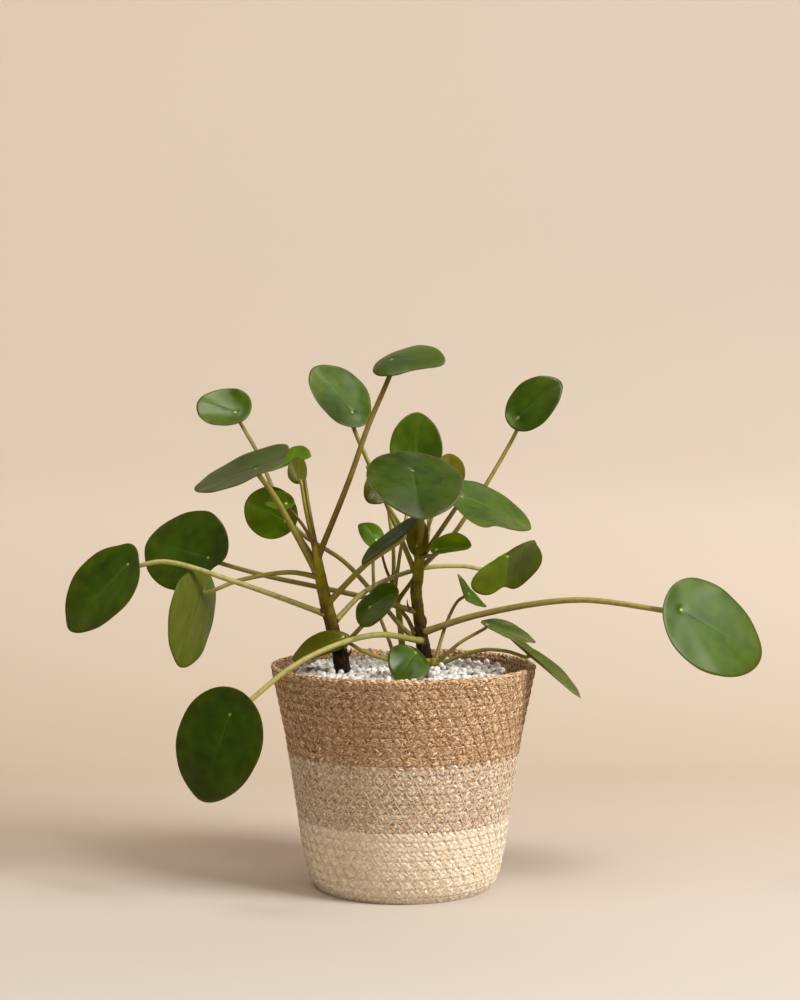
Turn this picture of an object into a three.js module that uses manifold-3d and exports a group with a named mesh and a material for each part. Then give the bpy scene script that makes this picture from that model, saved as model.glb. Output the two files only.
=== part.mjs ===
import * as THREE from "three";
import { mergeVertices } from "three/addons/utils/BufferGeometryUtils.js";
import Module from "manifold-3d";

const wasm = await Module();
wasm.setup();

// A pilea planted in a woven basket. Millimetres, +Z up, the front of the plant faces -Y.
// The origin is the middle of the basket's underside.

// Driving dimensions
const seatGap = 0.3;
const basketHeight = 150.5;
const basketSides = 40;
const basketFloor = 6;
const pot = {
  centreX: -2, sides: 36, wall: 1.2, base: 1.5, footRadius: 52, topRadius: 71.2, lipRadius: 73, rim: 145,
  lipDrop: 5,
};
const drain = { count: 6, radius: 4, ring: 36 };
const pumice = {
  bottom: 136, edge: 146, crown: 147.6, grain: 1.3, scatter: 1.2, rings: 11, sectors: 48, seed: 11,
};
const soilTop = pumice.bottom - seatGap;
const bladeThickness = 0.9;
const petioleGap = seatGap + 0.05;
const petioleSides = 6;
const stemFoot = 122;
const footGap = 0.5;

// The basket's wall is one cord, wound up from the foot: outer radius against height.
const basketOuter = [[57, 0], [61, 1.5], [63.5, 5], [66, 11], [69, 25], [74.5, 64], [80.6, 103],
  [88.7, 142], [90, 146.5], [89.2, 149.4]];
const basketInner = [[84.8, 149.4], [84, 146], [82.8, 142], [75.2, 103], [69.2, 64], [63.8, 25], [60.5, 11],
  [58, basketFloor]];

const colours = {
  cord: "#b98f63", potPlastic: "#3a3029", soil: "#3b2a1d", pumice: "#d8d6d4",
  stemLeft: "#7d7a33", stemRight: "#77702c", stemThin: "#9aa05a",
  leafDark: "#33520c", leafMid: "#47732c", leafYoung: "#7c8a24", leafUnder: "#6f7a3c",
};

function paint(colour, roughness) {
  return new THREE.MeshStandardMaterial({ color: colour, roughness, metalness: 0 });
}

// A three.js geometry with its shared corners merged and its empty triangles left out.
function merged(geometry) {
  const bare = geometry.clone();
  bare.deleteAttribute("normal");
  bare.deleteAttribute("uv");
  const welded = mergeVertices(bare, 1e-4);
  const index = welded.index.array;
  const kept = [];
  for (let i = 0; i < index.length; i += 3) {
    const [a, b, c] = [index[i], index[i + 1], index[i + 2]];
    if (a !== b && b !== c && c !== a) kept.push(a, b, c);
  }
  welded.setIndex(kept);
  return welded;
}

// The volume inside a closed mesh: below zero where its faces point inwards.
function volumeOf(geometry) {
  const p = geometry.attributes.position;
  const index = geometry.index.array;
  const [a, b, c] = [new THREE.Vector3(), new THREE.Vector3(), new THREE.Vector3()];
  let sum = 0;
  for (let i = 0; i < index.length; i += 3) {
    a.fromBufferAttribute(p, index[i]);
    b.fromBufferAttribute(p, index[i + 1]);
    c.fromBufferAttribute(p, index[i + 2]);
    sum += a.dot(b.cross(c)) / 6;
  }
  return sum;
}

// A solid that can be joined and cut, with its faces turned outwards.
function solid(geometry) {
  const body = merged(geometry);
  const triVerts = Uint32Array.from(body.index.array);
  if (volumeOf(body) < 0) triVerts.reverse();
  const vertProperties = Float32Array.from(body.attributes.position.array);
  return new wasm.Manifold(new wasm.Mesh({ numProp: 3, vertProperties, triVerts }));
}

function geometryOf(body) {
  const mesh = body.getMesh();
  const geometry = new THREE.BufferGeometry();
  geometry.setAttribute("position", new THREE.BufferAttribute(mesh.vertProperties, 3));
  geometry.setIndex(new THREE.BufferAttribute(mesh.triVerts, 1));
  return geometry;
}

// A turned body about the vertical through (x, 0), from [radius, height] points.
function turned(profile, sides, x = 0) {
  const points = profile.map(([r, z]) => new THREE.Vector2(r, z));
  return solid(new THREE.LatheGeometry(points, sides).rotateX(Math.PI / 2).translate(x, 0, 0));
}

function postHole(x, y, radius, bottom, top) {
  const hole = new THREE.CylinderGeometry(radius, radius, top - bottom, 10);
  return solid(hole.rotateX(Math.PI / 2).translate(x, y, (top + bottom) / 2));
}

function seededRandom(seed) {
  let state = seed;
  return () => {
    state = (state + 0x6d2b79f5) | 0;
    let t = Math.imul(state ^ (state >>> 15), 1 | state);
    t = (t + Math.imul(t ^ (t >>> 7), 61 | t)) ^ t;
    return ((t ^ (t >>> 14)) >>> 0) / 4294967296;
  };
}

// The edges of an indexed sheet that belong to one triangle only, as [from, to] pairs.
function rimEdges(faces) {
  const owner = new Map();
  for (let i = 0; i < faces.length; i++) {
    const next = i % 3 === 2 ? i - 2 : i + 1;
    owner.set(`${faces[i]} ${faces[next]}`, [faces[i], faces[next]]);
  }
  return [...owner.values()].filter(([from, to]) => !owner.has(`${to} ${from}`));
}

function indexed(positions, faces) {
  const geometry = new THREE.BufferGeometry();
  geometry.setAttribute("position", new THREE.Float32BufferAttribute(positions, 3));
  geometry.setIndex(faces);
  return geometry;
}

// A sheet given a thickness: the same triangles above and below, and a band round the edge.
function thickened(sheet, thickness) {
  sheet.computeVertexNormals();
  const top = Array.from(sheet.attributes.position.array);
  const normal = sheet.attributes.normal.array;
  const bottom = top.map((value, i) => value - normal[i] * thickness);
  const faces = Array.from(sheet.index.array);
  const count = top.length / 3;
  const closed = [...faces, ...faces.map((corner) => corner + count).reverse()];
  for (const [from, to] of rimEdges(faces)) {
    closed.push(to, from, count + from, to, count + from, count + to);
  }
  return indexed([...top, ...bottom], closed);
}

// A bed under a sheet: walls down from its edge to a flat bottom that fans out from the middle.
function bedded(sheet, [middleX, middleY], bottom) {
  const top = Array.from(sheet.attributes.position.array);
  const faces = Array.from(sheet.index.array);
  const positions = [...top, middleX, middleY, bottom];
  const middle = top.length / 3;
  const foot = new Map();
  for (const [corner] of rimEdges(faces)) {
    foot.set(corner, positions.length / 3);
    positions.push(top[corner * 3], top[corner * 3 + 1], bottom);
  }
  for (const [from, to] of rimEdges(Array.from(sheet.index.array))) {
    const [a, b] = [foot.get(from), foot.get(to)];
    faces.push(to, from, a, to, a, b, b, a, middle);
  }
  return indexed(positions, faces);
}

// A round rod with a radius at each step, bent along a smooth curve through the points.
function bentRod(points, radii, sides) {
  const steps = radii.length - 1;
  const profile = radii.map((r, i) => new THREE.Vector2(r, i));
  profile.unshift(new THREE.Vector2(0, 0));
  profile.push(new THREE.Vector2(0, steps));
  const rod = merged(new THREE.LatheGeometry(profile, sides));
  const curve = new THREE.CatmullRomCurve3(points.map((p) => new THREE.Vector3(...p)), false, "centripetal");
  const frames = curve.computeFrenetFrames(steps, false);
  const p = rod.attributes.position;
  const place = new THREE.Vector3();
  for (let i = 0; i < p.count; i++) {
    const step = Math.round(p.getY(i));
    curve.getPointAt(step / steps, place);
    place.addScaledVector(frames.normals[step], p.getX(i));
    place.addScaledVector(frames.binormals[step], -p.getZ(i));
    p.setXYZ(i, place.x, place.y, place.z);
  }
  return solid(rod);
}

function taper(from, to, steps) {
  return Array.from({ length: steps + 1 }, (_, i) => from + ((to - from) * i) / steps);
}

// A blade's own directions: along its midrib, across it, and out of its upper face.
function bladeFrame(leaf) {
  const heading = THREE.MathUtils.degToRad(leaf.heading);
  const rise = THREE.MathUtils.degToRad(leaf.rise);
  const roll = THREE.MathUtils.degToRad(leaf.roll);
  const along = new THREE.Vector3(
    Math.cos(rise) * Math.cos(heading), Math.cos(rise) * Math.sin(heading), Math.sin(rise));
  const upright = new THREE.Vector3(
    -Math.sin(rise) * Math.cos(heading), -Math.sin(rise) * Math.sin(heading), Math.cos(rise));
  const side = new THREE.Vector3().crossVectors(upright, along);
  const out = upright.multiplyScalar(Math.cos(roll)).addScaledVector(side, Math.sin(roll));
  const across = new THREE.Vector3().crossVectors(out, along);
  return { along, across, out };
}

// A pilea blade: nearly round, a little egg-shaped with a blunt tip, held at a point inside its
// outline. It is dished by cup, raised on both sides of the midrib by fold, bent down towards
// its tip by bend, and waved along its edge.
function blade(leaf) {
  const { along, across, out } = bladeFrame(leaf);
  const size = leaf.length;
  const sectors = size > 45 ? 18 : size > 24 ? 14 : 10;
  const rings = size > 35 ? 3 : 2;
  const half = size / 2;
  const ahead = half - leaf.hold * size;
  const fold = THREE.MathUtils.degToRad(leaf.fold);
  const sheet = merged(new THREE.RingGeometry(0, 1, sectors, rings));
  const p = sheet.attributes.position;
  for (let i = 0; i < p.count; i++) {
    const reach = Math.hypot(p.getX(i), p.getY(i));
    const turn = Math.atan2(p.getY(i), p.getX(i));
    const blunt = 0.05 * Math.exp(-((turn / 0.4) ** 2));
    const u = reach * (ahead + half * (Math.cos(turn) + blunt));
    const v = reach * (leaf.width / 2) * Math.sin(turn) * (1 - 0.07 * Math.cos(turn));
    const lift = leaf.cup * reach ** 2 - leaf.bend * (u / size) ** 2
      + leaf.wave * reach ** 2 * Math.sin(3 * turn + leaf.heading)
      + Math.abs(v) * Math.sin(fold);
    const spot = new THREE.Vector3(...leaf.at)
      .addScaledVector(along, u)
      .addScaledVector(across, v * Math.cos(fold))
      .addScaledVector(out, lift);
    p.setXYZ(i, spot.x, spot.y, spot.z);
  }
  return thickened(sheet, bladeThickness);
}

// A petiole leaves its stem at root, follows via and meets the blade from below.
function petiole(leaf) {
  const { out } = bladeFrame(leaf);
  const under = new THREE.Vector3(...leaf.at).addScaledVector(out, -bladeThickness - petioleGap);
  const elbow = under.clone().addScaledVector(out, -Math.min(4, leaf.length / 8));
  const points = [leaf.root, ...leaf.via, elbow.toArray(), under.toArray()];
  const steps = 8 + leaf.via.length;
  return bentRod(points, taper(leaf.stalk, leaf.stalk * 0.75, steps), petioleSides);
}

function stipule([x, y, z], heading, length) {
  const scale = new THREE.ConeGeometry(1.1, length, 4);
  scale.translate(0, length / 2, 0).rotateX(Math.PI / 2);
  scale.rotateY(THREE.MathUtils.degToRad(40)).rotateZ(THREE.MathUtils.degToRad(heading));
  return solid(scale.translate(x, y, z));
}

// Stems: the route of each woody stem from its foot in the soil to its growing tip, its radii,
// and the dry scales left along it.
const stems = {
  stem_left: {
    colour: colours.stemLeft, sides: 10, hole: [-41, -16, 6.4],
    route: [[-41, -16, stemFoot], [-41, -16, 145], [-43, -17, 162], [-47, -18, 175], [-52, -20, 195],
      [-55, -21, 209], [-57, -22, 222], [-59.5, -22, 234]],
    radii: [4.6, 5.2, 5.6, 5.2, 4.5, 4.4, 4.4, 4.2, 3.8, 3.0, 1.4],
    scales: [[[-54, -23, 187], 180, 7], [[-47, -21, 178], 200, 6], [[-45, -22, 171], 20, 6]],
  },
  stem_right: {
    colour: colours.stemRight, sides: 10, hole: [15, 20, 6.2],
    route: [[15, 20, stemFoot], [15, 20, 145], [14, 20, 157], [12, 20, 171], [10, 19, 185], [8.6, 18, 199],
      [10, 17, 209], [10.6, 16, 220], [11.3, 15, 234]],
    radii: [4.6, 5.2, 5.4, 4.8, 4.2, 4.0, 4.0, 4.0, 3.8, 3.0, 1.2],
    scales: [[[10, 15, 190], 190, 8], [[14, 18, 174], 0, 8], [[13, 17, 168], -20, 7], [[7, 15, 203], 170, 6]],
  },
  stem_middle: {
    colour: colours.stemThin, sides: 8, hole: [0, 34, 3.4],
    route: [[0, 34, stemFoot + 6], [-0.5, 34, 147], [-1.7, 34, 168], [-4.5, 34, 190], [-8, 32, 205]],
    radii: [2.2, 2.4, 2.4, 2.2, 2.1, 2.0, 1.0],
    scales: [[[-8, 32, 203], 160, 7], [[-7, 31, 201], 110, 6]],
  },
  stem_crown: {
    colour: colours.stemThin, sides: 8, hole: [20, 8, 3.8],
    route: [[20, 8, stemFoot + 6], [20, 8, 140], [20, 8, 153]],
    radii: [2.4, 3.0, 3.0, 2.4],
    scales: [],
  },
  stem_sprout: {
    colour: colours.stemThin, sides: 6, hole: [-5, 7, 2.6],
    route: [[-5, 7, stemFoot + 10], [-5, 7, 142], [-5.5, 7, 150]],
    radii: [1.6, 1.7, 1.5],
    scales: [],
  },
};

// Leaves: at is the pale dot where the petiole meets the blade. heading and rise point the midrib
// from there to the tip, in degrees round from +X and up from level; roll turns the blade about it.
const usual = {
  hold: 0.27, cup: 1.2, fold: 5, bend: 4, wave: 0.6, via: [], stalk: 1.5, colour: colours.leafMid,
};
const leaves = {
  leaf_upper_left: {
    stem: "stem_right", at: [-119, 70, 321], heading: 159, rise: 15, roll: 48, length: 39, width: 34,
    root: [9, 19, 164], via: [[-2, 21, 174], [-14, 22, 188], [-40, 15, 218], [-74, 15, 242], [-103, 50, 294]],
    stalk: 1.4,
  },
  leaf_left_tray: {
    stem: "stem_left", at: [-97, -45, 285], heading: 158, rise: -16, roll: 27, length: 69, width: 48,
    hold: 0.36, root: [-58, -21, 214], via: [[-85, -33, 265]], stalk: 1.8,
  },
  leaf_curled: {
    stem: "stem_left", at: [-70, -6, 287], heading: 165, rise: -17, roll: 25, length: 31, width: 26,
    fold: 18, bend: 3, root: [-58, -21, 229], via: [[-63, -17, 255]], stalk: 1.3,
  },
  leaf_young_under: {
    stem: "stem_left", at: [-71.5, -21, 274.5], heading: 110, rise: 75, roll: 170, length: 16, width: 15,
    root: [-59, -22, 227], via: [[-65, -22, 255]], stalk: 1.1, colour: colours.leafYoung,
  },
  leaf_left_round: {
    stem: "stem_left", at: [-79, -12, 248], heading: 157, rise: 26, roll: 78, length: 41, width: 36,
    fold: 12, root: [-57, -20, 219], via: [[-70, -12, 238]], stalk: 1.2,
  },
  leaf_young_left: {
    stem: "stem_left", at: [-78, -20, 260], heading: 175, rise: 5, roll: 60, length: 20, width: 15,
    fold: 25, root: [-59, -22, 231], via: [[-67, -25, 246]], stalk: 1.0, colour: colours.leafYoung,
  },
  leaf_far_left: {
    stem: "stem_left", at: [-180, -50, 222], heading: -177, rise: -46, roll: 43, length: 67, width: 60,
    hold: 0.14, root: [-52, -20, 186], via: [[-108, -36, 208], [-156, -46, 223]], stalk: 1.6,
    colour: colours.leafDark,
  },
  leaf_left_back: {
    stem: "stem_right", at: [-135, 25, 221], heading: 145, rise: 10, roll: 62, length: 72, width: 61,
    hold: 0.22, root: [9, 18, 184], via: [[-26, 15, 194], [-60, 10, 202], [-95, 16, 209]], stalk: 1.6,
    colour: colours.leafDark,
  },
  leaf_hanging_left: {
    stem: "stem_left", at: [-135, -30, 202], heading: -131, rise: -66, roll: -75, length: 64, width: 55,
    hold: 0.21, root: [-57, -21, 211], via: [[-76, -20, 214], [-109, -24, 209]], stalk: 1.4,
    colour: colours.leafUnder,
  },
  leaf_front_low: {
    stem: "stem_right", at: [-109, -92, 129], heading: -177, rise: -71, roll: 61, length: 73, width: 61,
    hold: 0.23, root: [12, 17, 164], via: [[-17, -18, 172], [-46, -49, 168], [-73, -68, 156]], stalk: 1.7,
    colour: colours.leafDark,
  },
  leaf_left_rim: {
    stem: "stem_crown", at: [-40, -32, 169], heading: 176, rise: -15, roll: 50, length: 42, width: 27,
    hold: 0.12, cup: -1, root: [18, 8, 151], via: [[-9, 0, 153], [-27, -18, 161]], stalk: 1.3,
    colour: colours.leafDark,
  },
  leaf_top_left: {
    stem: "stem_right", at: [-35, 25, 321], heading: 161, rise: 49, roll: 31, length: 54, width: 46,
    hold: 0.25, root: [8, 17, 211], via: [[-12, 20, 259]],
  },
  leaf_centre_low: {
    stem: "stem_left", at: [-23, -30, 191], heading: -26, rise: 32, roll: -48, length: 36, width: 33,
    hold: 0.34, root: [-41, -18, 163], stalk: 1.4, colour: colours.leafDark,
  },
  leaf_front_rim: {
    stem: "stem_right", at: [7, -44, 162], heading: -120, rise: -30, roll: 35, length: 32, width: 29,
    hold: 0.28, root: [14, 16, 156], stalk: 1.2,
  },
  leaf_side_on: {
    stem: "stem_left", at: [-2, -38, 242], heading: 180, rise: -38, roll: 8, length: 52, width: 36,
    hold: 0.3, fold: 10, root: [-50, -21, 194], via: [[-24, -34, 221]], stalk: 1.7, colour: colours.leafDark,
  },
  leaf_centre_tray: {
    stem: "stem_right", at: [6, -45, 283], heading: -84, rise: -33, roll: 4, length: 70, width: 64,
    hold: 0.28, root: [11, 15, 226], via: [[12, -12, 252]], stalk: 1.7,
  },
  leaf_right_arch: {
    stem: "stem_right", at: [39, -20, 265], heading: 4, rise: -20, roll: -28, length: 63, width: 54,
    hold: 0.21, bend: 7, root: [13, 15, 222],
  },
  leaf_back_upright: {
    stem: "stem_middle", at: [9, 58, 286], heading: 90, rise: 75, roll: 0, length: 48, width: 37,
    root: [-4, 34, 190], via: [[11, 27, 213], [17, 32, 236], [16, 53, 260]], stalk: 1.3,
  },
  leaf_young_back: {
    stem: "stem_right", at: [30, 35, 275], heading: 80, rise: 75, roll: -10, length: 26, width: 22,
    root: [12, 16, 226], via: [[20, 22, 250]], stalk: 1.1, colour: colours.leafYoung,
  },
  leaf_top_right: {
    stem: "stem_right", at: [79, 32, 318], heading: -14, rise: 42, roll: -58, length: 45, width: 39,
    hold: 0.18, root: [11, 17, 213], via: [[35, 20, 238]], stalk: 1.4,
  },
  leaf_young_front: {
    stem: "stem_right", at: [-16, -5, 272], heading: -120, rise: -38, roll: 56, length: 23, width: 20,
    root: [9, 14, 222], via: [[-4, 4, 247]], stalk: 1.1, colour: colours.leafYoung,
  },
  leaf_sprout: {
    stem: "stem_sprout", at: [-18, -12, 235], heading: -170, rise: 44, roll: 57, length: 21, width: 19,
    root: [-5, 7, 149], via: [[-9, 5, 163], [-19, -3, 194]], stalk: 1.1,
  },
  leaf_right_boat: {
    stem: "stem_right", at: [22, -11, 228.5], heading: 0, rise: 12, roll: -40, length: 27, width: 24,
    hold: 0.15, fold: 25, root: [12, 14, 222], stalk: 1.2,
  },
  leaf_right_folded: {
    stem: "stem_left", at: [77, 62, 213], heading: -98, rise: -24, roll: -32, length: 38, width: 60,
    hold: 0.12, fold: 8, root: [-45, -18, 182],
    via: [[-25, 2, 200], [10, 32, 212], [42, 62, 212], [60, 74, 209]],
  },
  leaf_right_sliver: {
    stem: "stem_crown", at: [44, 22, 198], heading: -35, rise: -25, roll: -25, length: 28, width: 17,
    fold: 40, root: [21, 9, 149], via: [[30, 20, 177]], stalk: 1.1,
  },
  leaf_right_slant: {
    stem: "stem_crown", at: [57, 4, 177], heading: -10, rise: -18, roll: -15, length: 38, width: 30,
    hold: 0.12, root: [21, 8, 148], via: [[38, 3, 162]], stalk: 1.1,
  },
  leaf_right_rim: {
    stem: "stem_crown", at: [84, -24, 160], heading: -12, rise: -40, roll: -3, length: 56, width: 36,
    hold: 0.28, fold: 12, root: [21, 7, 148], via: [[52, -4, 161], [70, -13, 161]], stalk: 1.2,
  },
  leaf_far_right: {
    stem: "stem_right", at: [183, -38, 191], heading: 11, rise: -29, roll: -59, length: 79, width: 70,
    hold: 0.21, root: [14, 18, 170], via: [[52, 8, 183], [118, -14, 195]], stalk: 1.9,
  },
  leaf_top: {
    stem: "stem_left", at: [-8, -24, 356], heading: -27, rise: 3, roll: -29, length: 49, width: 45,
    cup: -3, bend: 5, root: [-57, -22, 224], via: [[-36, -24, 276], [-24, -25, 310]], stalk: 1.7,
  },
  leaf_tip_right: {
    stem: "stem_right", at: [9, 12, 238], heading: 95, rise: 82, roll: 0, length: 20, width: 12,
    hold: 0.1, fold: 30, root: [11, 15, 232], stalk: 1.0, colour: colours.leafYoung,
  },
  leaf_back_lower: {
    stem: "stem_right", at: [2, 40, 258], heading: 60, rise: 20, roll: 0, length: 20, width: 18,
    root: [8, 19, 168], via: [[3, 25, 178], [-5, 27, 190], [-3, 28, 219], [0, 30, 236]], stalk: 1.2,
  },
  leaf_back_left: {
    stem: "stem_middle", at: [-12, 60, 276], heading: 130, rise: 30, roll: 10, length: 26, width: 22,
    root: [-7, 33, 199], via: [[-7, 36, 225], [-10, 42, 250]], stalk: 1.2,
  },
  leaf_young_middle: {
    stem: "stem_middle", at: [-13, 8, 228], heading: -150, rise: 30, roll: 40, length: 13, width: 10,
    root: [-8, 32, 203], via: [[-12, 22, 213]], stalk: 0.9, colour: colours.leafYoung,
  },
};

// The plain holes that the stems stand in, each with its floor just under the stem's foot.
const holes = Object.values(stems).map(({ hole: [x, y, radius], route }) => (
  { x, y, radius, floor: route[0][2] - footGap }));

function stemBody(name) {
  const stem = stems[name];
  let body = bentRod(stem.route, stem.radii, stem.sides);
  for (const leaf of Object.values(leaves)) {
    if (leaf.stem === name) body = body.add(petiole({ ...usual, ...leaf }));
  }
  for (const [place, heading, length] of stem.scales) body = body.add(stipule(place, heading, length));
  return body;
}

function basketBody() {
  const rim = [[87, basketHeight]];
  return turned([[0, 0], ...basketOuter, ...rim, ...basketInner, [0, basketFloor]], basketSides);
}

const potFoot = basketFloor + seatGap;

function potRadius(z) {
  return THREE.MathUtils.mapLinear(z, potFoot, pot.rim, pot.footRadius, pot.topRadius);
}

// What fills the pot keeps clear of its flat-sided wall.
function fillRadius(z) {
  return THREE.MathUtils.mapLinear(z, potFoot + pot.base, pot.rim, pot.footRadius, pot.topRadius)
    - pot.wall - 2 * seatGap;
}

function nurseryPot() {
  const lip = pot.rim - pot.lipDrop;
  const profile = [[0, potFoot], [pot.footRadius, potFoot], [potRadius(lip), lip], [pot.lipRadius, lip],
    [pot.lipRadius, pot.rim], [pot.topRadius - pot.wall, pot.rim],
    [pot.footRadius - pot.wall, potFoot + pot.base], [0, potFoot + pot.base]];
  let body = turned(profile, pot.sides, pot.centreX);
  for (let i = 0; i < drain.count; i++) {
    const turn = (2 * Math.PI * i) / drain.count;
    const x = pot.centreX + drain.ring * Math.cos(turn);
    body = body.subtract(postHole(x, drain.ring * Math.sin(turn), drain.radius, 0, potFoot + 2 * pot.base));
  }
  return body;
}

function pierced(body, lowest, top) {
  for (const { x, y, radius, floor } of holes) {
    body = body.subtract(postHole(x, y, radius, Math.max(floor, lowest), top));
  }
  return body;
}

function pottingSoil() {
  const bottom = potFoot + pot.base + seatGap;
  const profile = [[0, bottom], [fillRadius(bottom), bottom], [fillRadius(soilTop), soilTop], [0, soilTop]];
  return pierced(turned(profile, pot.sides, pot.centreX), 0, pumice.bottom + 1);
}

// Loose pumice: a domed bed whose surface is thrown up and down by the size of a grain.
function pumiceLayer() {
  const random = seededRandom(pumice.seed);
  const radius = fillRadius(pumice.bottom);
  const sheet = merged(new THREE.RingGeometry(0, radius, pumice.sectors, pumice.rings));
  const p = sheet.attributes.position;
  for (let i = 0; i < p.count; i++) {
    const reach = Math.hypot(p.getX(i), p.getY(i)) / radius;
    const inner = reach > 0.05 && reach < 0.97;
    const dome = pumice.crown + (pumice.edge - pumice.crown) * reach ** 2;
    const dx = inner ? (random() * 2 - 1) * pumice.scatter : 0;
    const dy = inner ? (random() * 2 - 1) * pumice.scatter : 0;
    p.setXYZ(i, p.getX(i) + pot.centreX + dx, p.getY(i) + dy, dome + (random() * 2 - 1) * pumice.grain);
  }
  const bed = solid(bedded(sheet, [pot.centreX, 0], pumice.bottom));
  return pierced(bed, pumice.bottom - 1, pumice.crown + 2 * pumice.grain);
}

const group = new THREE.Group();

function addPiece(name, geometry, material) {
  const mesh = new THREE.Mesh(geometry, material);
  mesh.name = name;
  group.add(mesh);
}

addPiece("basket", geometryOf(basketBody()), paint(colours.cord, 0.95));
addPiece("nursery_pot", geometryOf(nurseryPot()), paint(colours.potPlastic, 0.6));
addPiece("potting_soil", geometryOf(pottingSoil()), paint(colours.soil, 1));
addPiece("pumice_layer", geometryOf(pumiceLayer()), paint(colours.pumice, 0.95));
for (const name of Object.keys(stems)) {
  addPiece(name, geometryOf(stemBody(name)), paint(stems[name].colour, 0.6));
}
for (const [name, leaf] of Object.entries(leaves)) {
  const whole = { ...usual, ...leaf };
  addPiece(name, blade(whole), paint(whole.colour, 0.4));
}

export default group;
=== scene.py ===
import bpy
import numpy as np
from mathutils import Matrix


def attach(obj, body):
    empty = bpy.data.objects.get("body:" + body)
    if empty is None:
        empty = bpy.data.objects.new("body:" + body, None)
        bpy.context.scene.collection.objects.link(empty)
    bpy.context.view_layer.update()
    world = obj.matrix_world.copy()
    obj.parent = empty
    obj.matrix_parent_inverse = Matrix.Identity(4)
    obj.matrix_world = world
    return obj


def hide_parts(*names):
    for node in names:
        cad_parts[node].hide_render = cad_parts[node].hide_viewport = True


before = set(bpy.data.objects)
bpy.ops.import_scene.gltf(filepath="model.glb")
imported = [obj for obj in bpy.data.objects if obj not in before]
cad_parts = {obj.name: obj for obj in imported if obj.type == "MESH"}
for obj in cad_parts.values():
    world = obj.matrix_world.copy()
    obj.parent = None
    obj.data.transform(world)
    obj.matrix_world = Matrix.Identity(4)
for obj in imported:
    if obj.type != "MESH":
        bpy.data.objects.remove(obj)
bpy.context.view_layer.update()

# A pilea in a nursery pot, set down inside a woven basket. Lengths are in millimetres, +Z is up and
# the front of the plant faces -Y. The sections follow the way it is put together: basket, nursery
# pot, potting soil, pumice, stems, blades, petioles and stipules, and then the studio round it.


# Braided cord of the basket's wall. Three loose jute yarns are plaited flat into a cord 6.4 mm wide,
# and the cord is wound up in level turns from the foot to the rim. Each turn steps up to the next at
# the back. The lowest turns are bleached cord, the middle ones are mottled and the top ones are tan.
cord_pitch = 6.44
cord_turns = 24
yarn_wide, yarn_deep = 1.8, 1.45
yarn_sides, yarn_step = 6, 1.42
yarn_waver, yarn_swell, yarn_fuzz, yarn_slack = 0.06, 0.05, 0.09, 0.18
plait_length = 13.0
plait_swing, plait_depth, plait_lift = 2.25, 0.42, 0.5
step_angle = np.radians(16)

# The middle line of the wall from foot to rim, as radius and height.
wall_middle = np.array([[58.3, 2.8], [61.0, 6.0], [63.3, 11.5], [66.3, 25.3], [71.8, 64.3], [77.9, 103.4],
                        [86.0, 142.4], [87.1, 147.3]])
rng = np.random.default_rng(5)


def linear(code):
    """An sRGB hex colour as the linear red, green, blue and alpha that a shader takes."""
    srgb = np.array([int(code[i:i + 2], 16) for i in (1, 3, 5)]) / 255
    low = srgb / 12.92
    high = ((srgb + 0.055) / 1.055) ** 2.4
    return (*np.where(srgb <= 0.04045, low, high), 1.0)


def add_node(material, kind, links=None, output=0, **settings):
    """One shader node with its settings, whose inputs take a socket, a number or a hex colour each.

    It returns the node's output of that number or name, for the next node to take. Every Mix here is
    of colours: its input 0 is the share of the second, and its inputs 6 and 7 are the two colours.
    """
    node = material.node_tree.nodes.new("ShaderNode" + kind)
    if kind == "Mix":
        node.data_type = "RGBA"
        output = 2
    for name, value in settings.items():
        setattr(node, name, value)
    for key, source in (links or {}).items():
        if isinstance(source, bpy.types.NodeSocket):
            material.node_tree.links.new(source, node.inputs[key])
        else:
            node.inputs[key].default_value = linear(source) if isinstance(source, str) else source
    return node.outputs[output] if len(node.outputs) else None


def new_material(name):
    """A material that has no nodes yet."""
    material = bpy.data.materials.new(name)
    material.use_nodes = True
    material.node_tree.nodes.clear()
    return material


def put_mesh(name, points, faces, material, **attributes):
    """A smooth-shaded object from points in millimetres and arrays of three- or four-cornered faces."""
    mesh = bpy.data.meshes.new(name)
    corners = np.concatenate([block.ravel() for block in faces]).astype(np.int32)
    sizes = np.concatenate([np.full(len(block), block.shape[1]) for block in faces]).astype(np.int32)
    mesh.vertices.add(len(points))
    mesh.vertices.foreach_set("co", (np.asarray(points) * 0.001).ravel())
    mesh.loops.add(len(corners))
    mesh.loops.foreach_set("vertex_index", corners)
    mesh.polygons.add(len(sizes))
    mesh.polygons.foreach_set("loop_start", np.concatenate([[0], np.cumsum(sizes)[:-1]]).astype(np.int32))
    mesh.polygons.foreach_set("loop_total", sizes)
    mesh.polygons.foreach_set("use_smooth", np.ones(len(sizes), bool))
    mesh.update(calc_edges=True)
    for key, values in attributes.items():
        layer = mesh.attributes.new(key, "FLOAT_VECTOR", "POINT")
        layer.data.foreach_set("vector", np.asarray(values, float).ravel())
    piece = bpy.data.objects.new(name, mesh)
    bpy.context.scene.collection.objects.link(piece)
    mesh.materials.append(material)
    return piece


def stand_for(piece, node):
    """A piece that stands for a node: it rides on the only body, and the node's own solid is hidden."""
    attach(piece, "root")
    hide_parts(node)


def tube_faces(rings, sides, start=0):
    """Quads round a tube of rings x sides points, and fans to the two pole points that follow them."""
    ring, side = np.meshgrid(np.arange(rings - 1), np.arange(sides), indexing="ij")
    after = (side + 1) % sides
    quads = np.stack([ring * sides + side, ring * sides + after, (ring + 1) * sides + after,
                      (ring + 1) * sides + side], -1).reshape(-1, 4)
    edge = np.arange(sides)
    turn = (edge + 1) % sides
    last = (rings - 1) * sides
    foot = np.stack([turn, edge, np.full(sides, rings * sides)], -1)
    head = np.stack([last + edge, last + turn, np.full(sides, rings * sides + 1)], -1)
    return quads + start, np.concatenate([foot, head]) + start


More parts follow.
